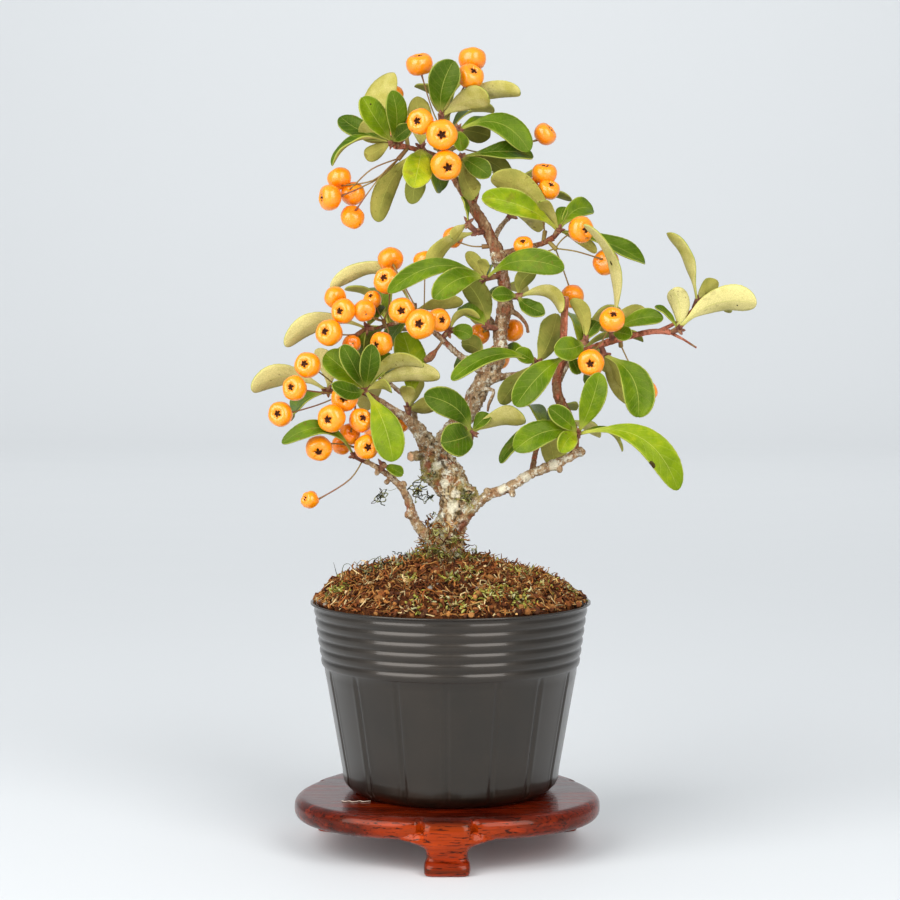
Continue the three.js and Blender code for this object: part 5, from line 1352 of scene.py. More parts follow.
def back_spray(name, root, facing, leaves, number, materials):
    """A spray behind the trunk: its leaves stand round the way it faces, a golden angle apart."""
    chance = random.Random(counts().seed * 2000 + number)
    turn, rise = (math.radians(angle) for angle in facing)
    level = Vector((math.sin(turn), math.cos(turn), 0))
    way = level * math.cos(rise) + UP * math.sin(rise)
    hub = place(*root[:3]) + way * BACK_LEAF["stem"]
    side = way.cross(UP).normalized()
    over = side.cross(way)
    whole = Gathering()
    for part in spray_stem(root, [hub], chance):
        whole.take(plain_tinted(part))
    for k in range(leaves):
        spread = math.radians(BACK_LEAF["spread"] * (1 - 0.5 * k / leaves))
        out = side * math.cos(k * LEAF_TURN) + over * math.sin(k * LEAF_TURN)
        reach = way * math.cos(spread) + out * math.sin(spread)
        tip = hub + reach * (BACK_LEAF["length"] * (1 - 0.06 * (k % 3)))
        face = UP + out * BACK_LEAF["lean"]
        face = (face - reach * face.dot(reach)).normalized()
        tone = (TONES["green"], TONES["dark"], TONES["bright"], TONES["olive"])[(k + number) % 4]
        base = hub + reach * KNOB_ROOT
        whole.take(leaf(base, tip, face, BACK_LEAF["width"], BACK_LEAF["bend"], Vector(), tone, chance))
    make_piece(f"spray_{name}", whole.mesh(), materials, [f"leaves_{name}"])


def make_back_sprays(materials):
    """The leafy sprays behind the trunk, each at the end of its limb."""
    for number, (name, (limb, facing, leaves)) in enumerate(BACK_SPRAYS.items()):
        back_spray(name, LIMBS[limb][-1], facing, leaves, number, materials)


# A berry's profile from its stalk to its eye: radius and height as shares of its radius. The last
# rings are the sunken star.
BERRY_PROFILE = (
    (0, -0.62), (0.12, -0.65), (0.34, -0.71), (0.62, -0.66), (0.84, -0.47), (0.97, -0.17), (1, 0.1),
    (0.96, 0.36), (0.83, 0.58), (0.66, 0.7), (0.52, 0.74), (0.31, 0.7), (0.23, 0.58), (0.11, 0.49), (0, 0.46),
)
BERRY_FOOT = 0.6
BERRY_STEPS = 20
STAR_POINTS = 5
STAR_FLOOR = 0.45
STAR_RINGS = {0.31: 0.46, 0.23: 0.46}
SKIN, STAR, STALK = 0, 1, 2
# This share of the berries is scarred.
SCARRED_SHARE = 0.2
# How far a berry's five lobes and its two flatter sides stand out, as shares of its radius.
LOBE_SWELL = 0.018
SIDE_SWELL = 0.02
# A withered berry is slimmer, wrinkled and drawn out.
WITHERED_GIRTH = 0.9
WITHERED_WRINKLES = 0.12
WITHERED_STRETCH = 1.12
STALK_BOW = 0.16


def star_wave(angle):
    """1 at each point of the star, and -1 halfway between two."""
    share = (angle * STAR_POINTS / math.tau) % 1
    return abs(share - 0.5) * 4 - 1


def berry(centre, eye, radius, chance, withered):
    """One berry: an oblate fruit with a dried five-pointed star sunk in its eye."""
    small = turned(BERRY_PROFILE, BERRY_STEPS)
    skin = small.verts.layers.float_color.new("berry_tint")
    shift = chance.uniform(-0.12, 0.2)
    scarred = 0.7 if chance.random() < SCARRED_SHARE else 0.0
    for vert in small.verts:
        share = math.hypot(vert.co.x, vert.co.y)
        height = vert.co.z
        vert[skin] = (min(max(height * 0.5 + 0.5, 0), 1), shift, scarred, 1)
        if height < STAR_FLOOR or share < 0.05:
            continue
        for ring, depth in STAR_RINGS.items():
            if abs(share - ring) < 0.01:
                stretch = 1 + depth * star_wave(math.atan2(vert.co.y, vert.co.x))
                vert.co = (vert.co.x * stretch, vert.co.y * stretch, height)
    for face in small.faces:
        middle = face.calc_center_median()
        inside = middle.z > STAR_FLOOR and math.hypot(middle.x, middle.y) < 0.3
        face.material_index = STAR if inside else SKIN
    across = eye.orthogonal().normalized()
    over = eye.cross(across)
    stand = Matrix((across, over, eye)).transposed().to_4x4()
    roll = Matrix.Rotation(chance.uniform(0, math.tau), 4, "Z")
    lobes = chance.uniform(0, math.tau)
    for vert in small.verts:
        angle = math.atan2(vert.co.y, vert.co.x)
        swell = 1 + LOBE_SWELL * math.cos(STAR_POINTS * angle + lobes)
        swell += SIDE_SWELL * math.cos(2 * angle + lobes)
        if withered:
            swell *= WITHERED_GIRTH + WITHERED_WRINKLES * noise.noise(vert.co * 2.6)
            vert.co.z *= WITHERED_STRETCH
        vert.co = vert.co * swell
    small.transform(Matrix.Translation(centre) @ stand @ roll @ Matrix.Scale(radius, 4))
    return small


def berry_parts(hub, row, chance, withered):
    """One berry and its bowed stalk. The row is x, z, depth, radius, and the way its eye looks."""
    x, z, depth, radius, right, up, to_viewer = row
    centre = place(x, z, depth)
    ahead = math.sqrt(max(0, 1 - right * right - up * up))
    eye = Vector((right, -to_viewer * ahead, up)).normalized()
    foot = centre - eye * (BERRY_FOOT * radius)
    middle = foot.lerp(hub, 0.5) - eye * (STALK_BOW * (foot - hub).length)
    run = smooth_line([hub, middle, foot], 5)
    slim = in_mm(sizes().stalk_radius)
    radii = [slim * mix(1.15, 1, min(k / 3, 1)) for k in range(len(run))]
    radii[-2:] = [slim * 1.3, slim * 1.8]
    stalk = tube(run, radii, 6, STALK)
    return [berry(centre, eye, radius, chance, withered), coloured(stalk, "berry_tint", (0, 0, 0))]


def make_bunches(materials):
    """Every bunch of berries."""
    for number, (name, row) in enumerate(BUNCHES.items()):
        chance = random.Random(counts().seed * 3000 + number)
        hub = place(*row["hub"])
        wood = place(*row["root"][:3])
        whole = Gathering()
        run = smooth_line([wood, wood.lerp(hub, 0.5), hub + (hub - wood).normalized() * 0.5], 3)
        radii = [mix(0.65, 0.8, k / (len(run) - 1)) for k in range(len(run))]
        whole.take(coloured(tube(run, radii, 8, STALK), "berry_tint", (0, 0, 0)))
        for k, berry_row in enumerate(row["berries"]):
            withered = (name, k) == WITHERED
            for part in berry_parts(hub, berry_row, chance, withered):
                whole.take(part)
        make_piece(f"bunch_{name}", whole.mesh(), materials, [f"berries_{name}"])


# The wood is fused from its limbs at this fineness. A limb slimmer than this is added as it is.
BARK_GRAIN = 0.36
SLIMMEST_FUSED = 0.55
LIMB_STEPS = 4
# The youth that stands for a cut end, which has no bark.
CUT = -1
PLAIN_YOUTH = (0.3, 0.3)
# Bark is at its roughest on wood of this radius and more.
OLD_RADIUS = 3.2
NEAR_SAMPLES = 16
# Moss begins below the first height and is full at the second, and so by distance from a hollow.
MOSS_LINE = (101, 90)
HOLLOW_REACH = (9, 2)


def limb_run(rows):
    """The points and the radii of a limb, smoothed."""
    points = smooth_line([place(*row[:3]) for row in rows], LIMB_STEPS)
    radii = smooth_line([row[3] for row in rows], LIMB_STEPS)
    return points, radii


def fused(shape):
    """The outer skin of overlapping shapes, as one mesh."""
    mesh = bpy.data.meshes.new("limbs")
    shape.to_mesh(mesh)
    shape.free()
    draft = bpy.data.objects.new("limbs", mesh)
    bpy.context.scene.collection.objects.link(draft)
    remesh = draft.modifiers.new("fuse", "REMESH")
    remesh.mode = "VOXEL"
    remesh.voxel_size = BARK_GRAIN
    dressed = draft.evaluated_get(bpy.context.evaluated_depsgraph_get())
    skin = bmesh.new()
    skin.from_mesh(dressed.to_mesh())
    dressed.to_mesh_clear()
    bpy.data.objects.remove(draft)
    bpy.data.meshes.remove(mesh)
    return skin


def mossiness(spot):
    """How mossy the bark is at a place: at the foot of the trunk and in a few hollows of it."""
    low = 0.6 * smooth_step(*MOSS_LINE, spot.z)
    hollows = max(smooth_step(*HOLLOW_REACH, (spot - place(*hollow)).length) for hollow in MOSSY_HOLLOWS)
    return max(low, 0.45 * hollows)


def patchiness(spot, patches):
    """How near a place is to the middle of a patch of the bark: 1 in it, 0 away from all."""
    return max(smooth_step(reach, 0.4 * reach, (spot - place(*middle)).length) for *middle, reach in patches)


def limb_samples():
    """Points along every limb with its radius and youth there, and a tree that finds the near ones."""
    samples = []
    for name, rows in (("trunk", TRUNK), *LIMBS.items()):
        points, radii = limb_run(rows)
        start, end = YOUTH.get(name, PLAIN_YOUTH)
        for k, (point, radius) in enumerate(zip(points, radii)):
            samples.append((point, radius, mix(start, end, k / (len(points) - 1))))
    tree = kdtree.KDTree(len(samples))
    for k, sample in enumerate(samples):
        tree.insert(sample[0], k)
    tree.balance()
    return samples, tree


def bark_height(spot):
    """How far the oldest bark stands out at a place, from its lumps, furrows, plates and crust."""
    stretched = Vector((spot.x, spot.y, spot.z * 0.5))
    furrow = 1 - 2 * abs(noise.noise(stretched * 0.55))
    plate = 1 - 2 * abs(noise.noise(spot * 0.9 + Vector((9, 4, 2))))
    lump = noise.noise(spot * 0.27)
    crust = noise.turbulence(spot * 1.2, 3, False) - 0.5
    return 0.8 * lump + 0.9 * (furrow - 0.5) + 0.7 * (plate - 0.5) + 0.5 * crust


def within_one(spot, places):
    """Whether a place lies within the reach of one of several others."""
    return any((spot - place(*middle)).length < reach for *middle, reach in places)


def roughen(skin):
    """Raises the ridges of old bark, and writes the tints and patches that colour it."""
    samples, tree = limb_samples()
    tint = skin.verts.layers.float_color.new("bark_tint")
    patch = skin.verts.layers.float_color.new("bark_patch")
    relief = in_mm(sizes().bark_relief)
    skin.normal_update()
    moves = []
    for vert in skin.verts:
        spot = vert.co
        near = tree.find_n(spot, NEAR_SAMPLES)
        index = min(near, key=lambda hit: hit[2] - samples[hit[1]][1])[1]
        radius, youth = samples[index][1:]
        height = bark_height(spot)
        age = (1 - youth) * min(radius / OLD_RADIUS, 1)
        young = 0.16 * noise.noise(spot * 1.1)
        if within_one(spot, OLD_JOINTS):
            youth = 0
        if within_one(spot, CUT_ENDS):
            youth = CUT
        vert[tint] = (youth, mossiness(spot), min(max(0.62 + 0.5 * height * age, 0), 1), 1)
        shares = [patchiness(spot, patches) for patches in (RUST_PATCHES, CHALK_PATCHES, SHADE_PATCHES)]
        vert[patch] = (*shares, 1)
        moves.append(vert.normal * (relief * (height * age * 1.25 + young)))
    for vert, move in zip(skin.verts, moves):
        vert.co = vert.co + move


def add_knots(wood):
    """Round knots and healed stubs on the bark."""
    for x, z, depth, radius in KNOTS:
        knot = bmesh.new()
        spot = Matrix.Translation(place(x, z, depth))
        bmesh.ops.create_icosphere(knot, subdivisions=2, radius=radius, matrix=spot)
        wood.take(knot)


def add_crown_bud(wood):
    """The scales of the large bud at the left of the crown."""
    bud = place(*CROWN_BUD)
    for right, up in CROWN_BUD_SCALES:
        way = Vector((right, -0.8, up)).normalized()
        ends = [bud, bud + way * 2.2, bud + way * 3.6 + UP * 0.5]
        wood.take(tube(ends, [1.0, 0.8, 0.08], 6))


def make_wood(materials):
    """The trunk and its branches, grown together, with thorns, pruned stubs and knots."""
    thick = Gathering()
    slim = Gathering()
    thick.take(tube(*limb_run(TRUNK), 20))
    for rows in LIMBS.values():
        points, radii = limb_run(rows)
        if min(radii) < SLIMMEST_FUSED:
            slim.take(tube(points, radii, 7))
        else:
            thick.take(tube(points, radii, 12))
    add_knots(thick)
    skin = fused(thick.mesh())
    bmesh.ops.smooth_vert(
        skin, verts=skin.verts, factor=0.5, use_axis_x=True, use_axis_y=True, use_axis_z=True
    )
    roughen(skin)
    add_crown_bud(slim)
    twigs = slim.mesh()
    roughen(twigs)
    whole = Gathering()
    whole.take(skin)
    whole.take(twigs)
    make_piece("bark_and_branches", whole.mesh(), materials, ["trunk_and_branches"])


# The pot
RIBS = 6
RIB_SPACING = 3.2
RIB_DEPTH = 0.72
RIB_ROUNDING = 7
BAND_START = 40.3
LIP = 1.3
DRAIN_RADIUS = 6
WAIST = 4
GROOVES = 16
GROOVE_DEPTH = 0.55
GROOVE_WIDTH = 0.62
# How far a groove stays off the foot of the wall and off the ribs.
GROOVE_OFF_FOOT = 2.2
GROOVE_OFF_RIBS = 0.8
# On each side of a groove the wall swells out a little: how far off, how wide and how high.
SWELL_PLACE = 1.4
SWELL_WIDTH = 0.6
SWELL_HEIGHT = 0.1
# Between two grooves the wall is a little flatter than round.
PANEL_FLATNESS = 0.3
PANEL_FADE = 6
POT_STEPS = 480
GROOVE_TURN = math.radians(-1.7)
WALL_ROWS = 14
SEAT_GAP = 0.3


def pot_profile():
    """The pot's outline from the middle of its floor, up its ribbed wall and down inside."""
    size = sizes()
    floor = in_mm(size.stand_top) + SEAT_GAP
    top = floor + in_mm(size.pot_height)
    wall = in_mm(size.pot_wall)
    rim, band = in_mm(size.pot_rim_radius), in_mm(size.pot_band_radius)
    waist, foot = in_mm(size.pot_waist_radius), in_mm(size.pot_foot_radius)
    rows = [(DRAIN_RADIUS, floor), (foot - 0.6, floor), (foot, floor + 0.5), (foot + 1.2, floor + 1.3)]
    rows += [(waist - 0.5, floor + 2.6), (waist - 0.1, floor + WAIST - 0.7), (waist + 0.15, floor + WAIST)]
    for k in range(1, WALL_ROWS):
        share = k / WALL_ROWS
        rows.append((mix(waist, band, share), mix(floor + WAIST, floor + BAND_START, share)))
    rise = top - floor - BAND_START
    for rib in range(RIBS):
        for k in range(RIB_ROUNDING):
            share = k / RIB_ROUNDING
            height = floor + BAND_START + (rib + share) * RIB_SPACING
            radius = mix(band, rim - LIP, (height - floor - BAND_START) / rise)
            rows.append((radius + RIB_DEPTH * math.sin(math.pi * share) ** 0.55 - 0.12, height))
    rows += [(rim - LIP, top - 1.0), (rim - 0.5, top - 0.8), (rim, top - 0.5), (rim, top - 0.15)]
    rows += [(rim - 0.2, top), (rim - 0.7, top), (rim - LIP - wall, top - 0.3)]
    rows += [(band - wall, floor + BAND_START), (waist - wall, floor + WAIST)]
    rows += [(foot - wall, floor + wall), (DRAIN_RADIUS, floor + wall), (DRAIN_RADIUS, floor)]
    return rows, floor


def make_pot(materials):
    """The thin pot with its rolled ribs and pressed upright grooves, open at the drain in its floor."""
    profile, floor = pot_profile()
    shell = turned(profile, POT_STEPS)
    wall = in_mm(sizes().pot_wall)
    waist, band = in_mm(sizes().pot_waist_radius), in_mm(sizes().pot_band_radius)
    low, high = floor + GROOVE_OFF_FOOT, floor + BAND_START - GROOVE_OFF_RIBS
    for vert in shell.verts:
        radius = math.hypot(vert.co.x, vert.co.y)
        height = vert.co.z
        outer = mix(waist, band, (height - low) / (high - low))
        if not low < height < high or radius < outer - 0.8 * wall:
            continue
        turn = (math.atan2(vert.co.y, vert.co.x) - GROOVE_TURN) * GROOVES / math.tau
        off = abs(turn - round(turn)) * math.tau * radius / GROOVES
        depth = GROOVE_DEPTH * bell(off, GROOVE_WIDTH) - SWELL_HEIGHT * bell(off - SWELL_PLACE, SWELL_WIDTH)
        across = 1 - 2 * abs(turn - round(turn))
        off_ends = smooth_step(high, high - PANEL_FADE, height) * smooth_step(low, low + PANEL_FADE, height)
        depth += PANEL_FLATNESS * (1 - across ** 2) * off_ends
        share = (radius - depth) / radius
        vert.co = (vert.co.x * share, vert.co.y * share, height)
    make_piece("pot_ribbed_shell", shell, materials, ["pot"])


# The soil
MOUND = (
    (0, 0), (4, -0.2), (11, -1), (20, -3.2), (30, -6), (37, -9), (41.2, -12.2), (43.8, -13.7),
)
SOIL_STEPS = 168
SOIL_ROWS = 56
SOIL_BODY = 42.2
SOIL_EDGE = 43.6
# No loose thing lies this near to the trunk's middle.
TRUNK_CLEARANCE = 6
# The depth of a place on the soil is searched for in tenths of a millimetre.
SEARCH_STEPS = 440
STEPS_PER_MM = 10
GRAIN_EVERY = 11
GRAIN_RADII = (0.5, 1.1)
CRUMB_RADII = (0.3, 1.6)
MOSS_FULLNESS = 1.7
TRUNK_MOSS_STEMS = 16
# In front of this line lies only the moss that is seen.
DRAWN_MOSS_FRONT = -8


def soil_height(x, y):
    """The height of the soil at a place, without its crumbs."""
    radius = math.hypot(x, y)
    height = in_mm(sizes().soil_crown) + curve_at(MOUND, radius)
    lump = 0.7 * math.sin(0.31 * x + 1) * math.cos(0.27 * y) + 0.5 * math.sin(0.8 * x - 0.6 * y)
    return height + (lump - 0.02 * x) * smooth_step(43, 40, radius)


def seen_on_soil(x, z):
    """The place on the soil that is seen at x and z, or the nearest one to it."""
    nearest = None
    for step in range(-SEARCH_STEPS, SEARCH_STEPS):
        spot = place(x, z, step / STEPS_PER_MM)
        if math.hypot(spot.x, spot.y) > SOIL_EDGE - 0.5:
            continue
        above = spot.z - soil_height(spot.x, spot.y)
        if nearest is None or above < nearest[0]:
            nearest = (above, spot)
        if above <= 0:
            break
    if nearest is None:
        raise RuntimeError("no soil is seen there")
    spot = nearest[1]
    spot.z = soil_height(spot.x, spot.y)
    return spot


def make_soil(materials):
    """The body of the soil, with a crumbly top."""
    inner = in_mm(sizes().pot_wall) + 0.45
    floor = in_mm(sizes().stand_top) + SEAT_GAP
    profile = [(0, floor + inner), (in_mm(sizes().pot_foot_radius) - inner, floor + inner)]
    profile += [(in_mm(sizes().pot_waist_radius) - inner, floor + WAIST)]
    profile += [(in_mm(sizes().pot_band_radius) - inner, floor + BAND_START)]
    for k in range(SOIL_ROWS):
        radius = SOIL_BODY * (1 - k / SOIL_ROWS)
        profile.append((radius, in_mm(sizes().soil_crown) + curve_at(MOUND, radius)))
    profile.append((0, in_mm(sizes().soil_crown)))
    body = turned(profile, SOIL_STEPS)
    for vert in body.verts:
        x, y, z = vert.co
        radius = math.hypot(x, y)
        if z < floor + in_mm(sizes().pot_height) - 3 or radius > SOIL_BODY + 0.5:
            continue
        rough = noise.turbulence(Vector((x, y, 0)) * 0.5, 4, False) - 0.45
        vert.co.z = soil_height(x, y) + 1.3 * rough * smooth_step(42.4, 41, radius)
    make_piece("soil_mound", body, materials, ["soil"])


def spot_on_soil(chance, edge=SOIL_EDGE):
    """A place on the soil, drawn a little more often towards its steep edge, outside the trunk."""
    while True:
        angle = chance.uniform(0, math.tau)
        radius = edge * chance.random() ** 0.4
        x, y = radius * math.cos(angle), radius * math.sin(angle)
        if math.hypot(x - FOOT_MIDDLE[0], y - FOOT_MIDDLE[1]) > TRUNK_CLEARANCE:
            return Vector((x, y, soil_height(x, y)))


def make_crumbs(materials):
    """Grains and crumbs of peat, bark and clay on the soil."""
    chance = random.Random(counts().seed)
    whole = Gathering()
    for k in range(counts().crumbs):
        spot = spot_on_soil(chance)
        grain = k % GRAIN_EVERY == 0
        radius = chance.uniform(*GRAIN_RADII) if grain else mix(*CRUMB_RADII, chance.random() ** 2)
        tone = chance.choice(GRAIN_COLOURS if grain else CRUMB_COLOURS)
        whole.take(crumb(spot + UP * (0.3 * radius), radius, tone, chance))
    for x, z, radius, digits in SEEN_GRAINS:
        whole.take(crumb(seen_on_soil(x, z) + Vector((0, -0.4, 0.4)), radius, digits, chance))
    make_piece("soil_crumbs", whole.mesh(), materials, smooth=False)


def crumb(spot, radius, digits, chance):
    """One rough grain or crumb."""
    small = bmesh.new()
    squash = Matrix.Diagonal((chance.uniform(0.6, 1), chance.uniform(0.6, 1), chance.uniform(0.45, 0.8), 1))
    angle = chance.uniform(0, math.tau)
    turn = Matrix.Rotation(angle, 4, scattered(chance, 1))
    bmesh.ops.create_icosphere(
        small, subdivisions=1, radius=radius, matrix=Matrix.Translation(spot) @ turn @ squash
    )
    for vert in small.verts:
        vert.co = spot + (vert.co - spot) * chance.uniform(0.75, 1.2)
    shade = chance.uniform(0.7, 1.2)
    return coloured(small, "speck_colour", [share * shade for share in colour(digits)])


def fibre(points, radii, digits, shade=1.0):
    """A thin strand with its own colour."""
    return coloured(tube(points, radii, 3), "speck_colour", [share * shade for share in colour(digits)])


def loose_strand(spot, length, lift, chance, bends):
    """Four places along a strand that starts at a spot, mostly level, and curls."""
    angle = chance.uniform(0, math.tau)
    way = Vector((math.cos(angle), math.sin(angle), lift)).normalized()
    points = [spot]
    for unused in range(3):
        points.append(points[-1] + way * (length / 3))
        way = (way + scattered(chance, bends)).normalized()
    return points


def peat_fibre(points, thickest, lightest, chance):
    """One fibre of peat through four places, with a thickness and a colour drawn for it."""
    thick = chance.uniform(0.12, thickest)
    radii = [thick, thick, thick * 0.9, thick * 0.5]
    return fibre(points, radii, chance.choice(FIBRE_COLOURS), chance.uniform(0.4, lightest))


def lay_on_soil(points):
    """Keeps the places of a loose fibre inside the pot, over the soil and not too high above it."""
    for point in points:
        reach = math.hypot(point.x, point.y)
        if reach > SOIL_EDGE:
            point.xy = point.xy * (SOIL_EDGE / reach)
        ground = soil_height(point.x, point.y)
        highest = ground + mix(4, 1, smooth_step(FLATTER_FROM, SOIL_EDGE - 1, reach))
        point.z = min(max(point.z, ground + 0.1), highest)


def foot_fibre(chance):
    """A peat fibre that clings to the foot of the trunk."""
    share = chance.random() ** 1.6
    angle = chance.uniform(0, math.tau)
    radius = mix(*FOOT_RADII, share)
    x, y = FOOT_MIDDLE
    height = mix(*FOOT_FIBRE_REACH, share)
    root = Vector((x + radius * math.cos(angle), y + radius * math.sin(angle), height))
    points = loose_strand(root, chance.uniform(1.5, 4), chance.uniform(-1.5, 1.5), chance, 0.9)
    return peat_fibre(points, 0.3, 1.2, chance)


def make_fibres(materials):
    """The tangle of peat fibres over the whole of the soil and round the trunk's foot."""
    chance = random.Random(counts().seed + 1)
    whole = Gathering()
    for unused in range(counts().fibres):
        spot = spot_on_soil(chance) + UP * chance.uniform(0.05, 0.7)
        points = loose_strand(spot, chance.uniform(1.6, 5), chance.uniform(-0.15, 0.7), chance, 1.1)
        lay_on_soil(points)
        whole.take(peat_fibre(points, 0.38, 1.3, chance))
    for unused in range(FOOT_FIBRES):
        whole.take(foot_fibre(chance))
    make_piece("peat_fibres", whole.mesh(), materials)


def moss_tuft(spot, spread, count, chance, whole):
    """A tuft of short leafy moss stems."""
    for unused in range(round(MOSS_FULLNESS * count)):
        shift = Vector((chance.gauss(0, spread), chance.gauss(0, spread), 0))
        root = spot + shift
        if math.hypot(root.x, root.y) > SOIL_EDGE - 0.5:
            continue
        root.z = soil_height(root.x, root.y) + 0.2
        points = loose_strand(root, chance.uniform(1.1, 2.8), chance.uniform(0, 0.9), chance, 0.9)
        thick = chance.uniform(0.26, 0.6)
        radii = [thick * 0.6, thick, thick * 0.8, thick * 0.15]
        whole.take(fibre(points, radii, chance.choice(MOSS_COLOURS), chance.uniform(0.65, 1.2)))


def make_moss(materials):
    """Moss on the soil, where it is seen and in tufts drawn over the rest, and on the trunk."""
    chance = random.Random(counts().seed + 2)
    whole = Gathering()
    for x, z, spread, count in SEEN_MOSS:
        moss_tuft(seen_on_soil(x, z), spread, count, chance, whole)
    for unused in range(counts().moss_tufts):
        spot = spot_on_soil(chance, 40)
        if spot.y > DRAWN_MOSS_FRONT:
            moss_tuft(spot, chance.uniform(0.8, 2), chance.randint(5, 16), chance, whole)
    for x, z, depth in TRUNK_MOSS:
        for unused in range(TRUNK_MOSS_STEMS):
            root = place(x, z, depth) + blurred(chance, 0.9)
            points = loose_strand(root, chance.uniform(1.5, 3.2), chance.uniform(-0.8, 0.8), chance, 0.9)
            radii = [0.18, 0.24, 0.2, 0.06]
            whole.take(fibre(points, radii, chance.choice(MOSS_COLOURS), chance.uniform(0.5, 1)))
    make_piece("moss", whole.mesh(), materials)


CURL_STEPS = 7


def curled(centre, reach, chance):
    """Places along a strand that curls about a centre."""
    spot = centre + blurred(chance, 0.4 * reach)
    way = blurred(chance, 1).normalized()
    points = [spot]
    for unused in range(CURL_STEPS):
        points.append(points[-1] + way * (0.34 * reach * chance.uniform(0.5, 1.5)))
        pull = (centre - points[-1]) * (0.45 / reach)
        way = (way + pull + blurred(chance, 0.6)).normalized()
    return points


def make_sprouts(materials):
    """Thin sprouts and dry wisps: at the left edge of the soil, and on the bark."""
    chance = random.Random(counts().seed + 3)
    whole = Gathering()
    for digits, thick, seen in SPROUTS:
        root = seen_on_soil(*seen[0])
        points = [root] + [place(x, z, root.y) for x, z in seen[1:]]
        run = smooth_line(points, 4)
        radii = [thick * mix(1, 0.35, k / (len(run) - 1)) for k in range(len(run))]
        whole.take(fibre(run, radii, digits))
    for x, z, depth, reach, count in WISPS:
        for unused in range(count):
            points = smooth_line(curled(place(x, z, depth), reach, chance), 3)
            thick = chance.uniform(0.09, 0.24)
            radii = [thick * chance.uniform(0.7, 1.3) for unused in points]
            whole.take(fibre(points, radii, chance.choice(WISP_COLOURS)))
    thread = smooth_line([place(*spot) for spot in WISP_THREAD], 3)
    whole.take(fibre(thread, [0.09] * len(thread), "9a9a7c"))
    make_piece("sprouts_and_wisps", whole.mesh(), materials)


def make_board_fibre(materials):
    """The pale curled fibre that lies on the stand in front of the pot."""
    top = in_mm(sizes().stand_top) + 0.25
    points = [Vector((x, y, top)) for x, y in BOARD_FIBRE]
    run = smooth_line(points, 4)
    whole = fibre(run, [0.2] * len(run), "e6d3c0")
    make_piece("fibre_on_board", whole, materials)


# The stand
BOARD_STEPS = 360
BOARD_ROUND = 2.9
FEET = 3
FOOT_WIDTH_STEPS = 96
TONGUE_HALF = 7.4
# The grooves beside a tongue, pressed into the board's edge beyond this distance ahead.
TONGUE_GROOVE_START = 38
TONGUE_GROOVE_DEPTH = 1.5
TONGUE_GROOVE_WIDTH = 0.85
TONGUE_GROOVE_OFF = 0.75
# Between these two distances ahead the groove reaches its full depth.
TONGUE_GROOVE_RISE = (39.5, 43.5)
# Beyond its middle, the flared top of a foot draws back to the edge of the board.
FLARE_START = 8
FLARE_END = 18.5
FLARE_DRAWN_BACK = 3.6
# The foot from the floor up: height, half width, front and back.
FOOT_ROWS = (
    (-1.2, 6.1, 45.7, 40.3), (-0.95, 6.7, 46.35, 39.9), (-0.3, 7.0, 46.9, 39.5), (0.7, 7.1, 47.1, 39.2),
    (1.7, 7.05, 46.95, 38.8), (2.5, 6.85, 46.5, 38.5), (3.0, 6.6, 45.9, 38.2), (3.4, 6.4, 45.3, 38),
    (4.2, 6.3, 45.1, 37.5), (5.2, 6.3, 45.1, 37), (6.0, 6.5, 45.25, 36.4), (6.8, 7.0, 45.5, 35.6),
    (7.5, 7.8, 45.8, 34.9), (8.1, 9.0, 46, 34.3), (8.6, 10.6, 46.15, 33.7), (9, 12.4, 46.25, 33.2),
    (9.35, 14.4, 46.3, 32.7), (9.7, 16.4, 46.3, 32.2), (10.3, 18.4, 46.1, 31.5), (11.6, 20, 45.5, 30),
)
TONGUE_ROWS = (
    (7.4, 6.7, 45.6, 38), (8.4, 7.0, 46.3, 38), (9.6, 7.2, 46.75, 38), (11, 7.3, 46.9, 38),
    (12.5, 7.4, 46.9, 38), (13.8, 7.4, 46.7, 38), (14.9, 7.35, 46.1, 38), (15.7, 7.2, 45.2, 38),
    (16.15, 7.0, 44.2, 38),
)
# The rolled end beside a foot's tongue: radius and height over its face, from its middle outwards.
SCROLL = (
    (0, 0.3), (0.3, 0.26), (0.55, 0.05), (0.8, -0.35), (1.0, -0.35), (1.25, 0.0), (1.55, 0.15),
    (1.85, 0.05), (2.05, -0.3), (2.15, -0.8), (2.15, -5), (0, -5),
)
SCROLL_PLACE = (8.6, 45.3, 10.6)


def board_radius(angle):
    """The radius of the stand's board at an angle round it: least over each foot."""
    return in_mm(sizes().board_radius) + in_mm(sizes().board_lobe) * math.cos(FEET * (angle + math.pi / 6))


def make_board():
    """The three-lobed board with its round edge, cut by a groove on each side of every foot."""
    small = bmesh.new()
    made = bmesh.ops.create_circle(small, cap_ends=True, segments=BOARD_STEPS, radius=1)
    low = in_mm(sizes().stand_top) - in_mm(sizes().board_thickness)
    for vert in made["verts"]:
        angle = math.atan2(vert.co.y, vert.co.x)
        radius = board_radius(angle)
        vert.co = (radius * math.cos(angle), radius * math.sin(angle), low)
    grown = bmesh.ops.extrude_face_region(small, geom=list(small.faces), use_keep_orig=True)
    moved = [part for part in grown["geom"] if isinstance(part, bmesh.types.BMVert)]
    bmesh.ops.translate(small, verts=moved, vec=(0, 0, in_mm(sizes().board_thickness)))
    bmesh.ops.recalc_face_normals(small, faces=small.faces)
    rims = [e for e in small.edges if abs(e.verts[0].co.z - e.verts[1].co.z) < 0.01]
    bmesh.ops.bevel(
        small, geom=rims, offset=BOARD_ROUND, offset_type="OFFSET", segments=7, profile=0.5, affect="EDGES",
        material=-1,
    )
    top = [f for f in small.faces if len(f.verts) > 8 and f.calc_center_median().z > low + 1]
    for unused in range(3):
        bmesh.ops.inset_region(small, faces=top, thickness=1.1, use_even_offset=True)
    for vert in small.verts:
        press_grooves(vert)
    return small


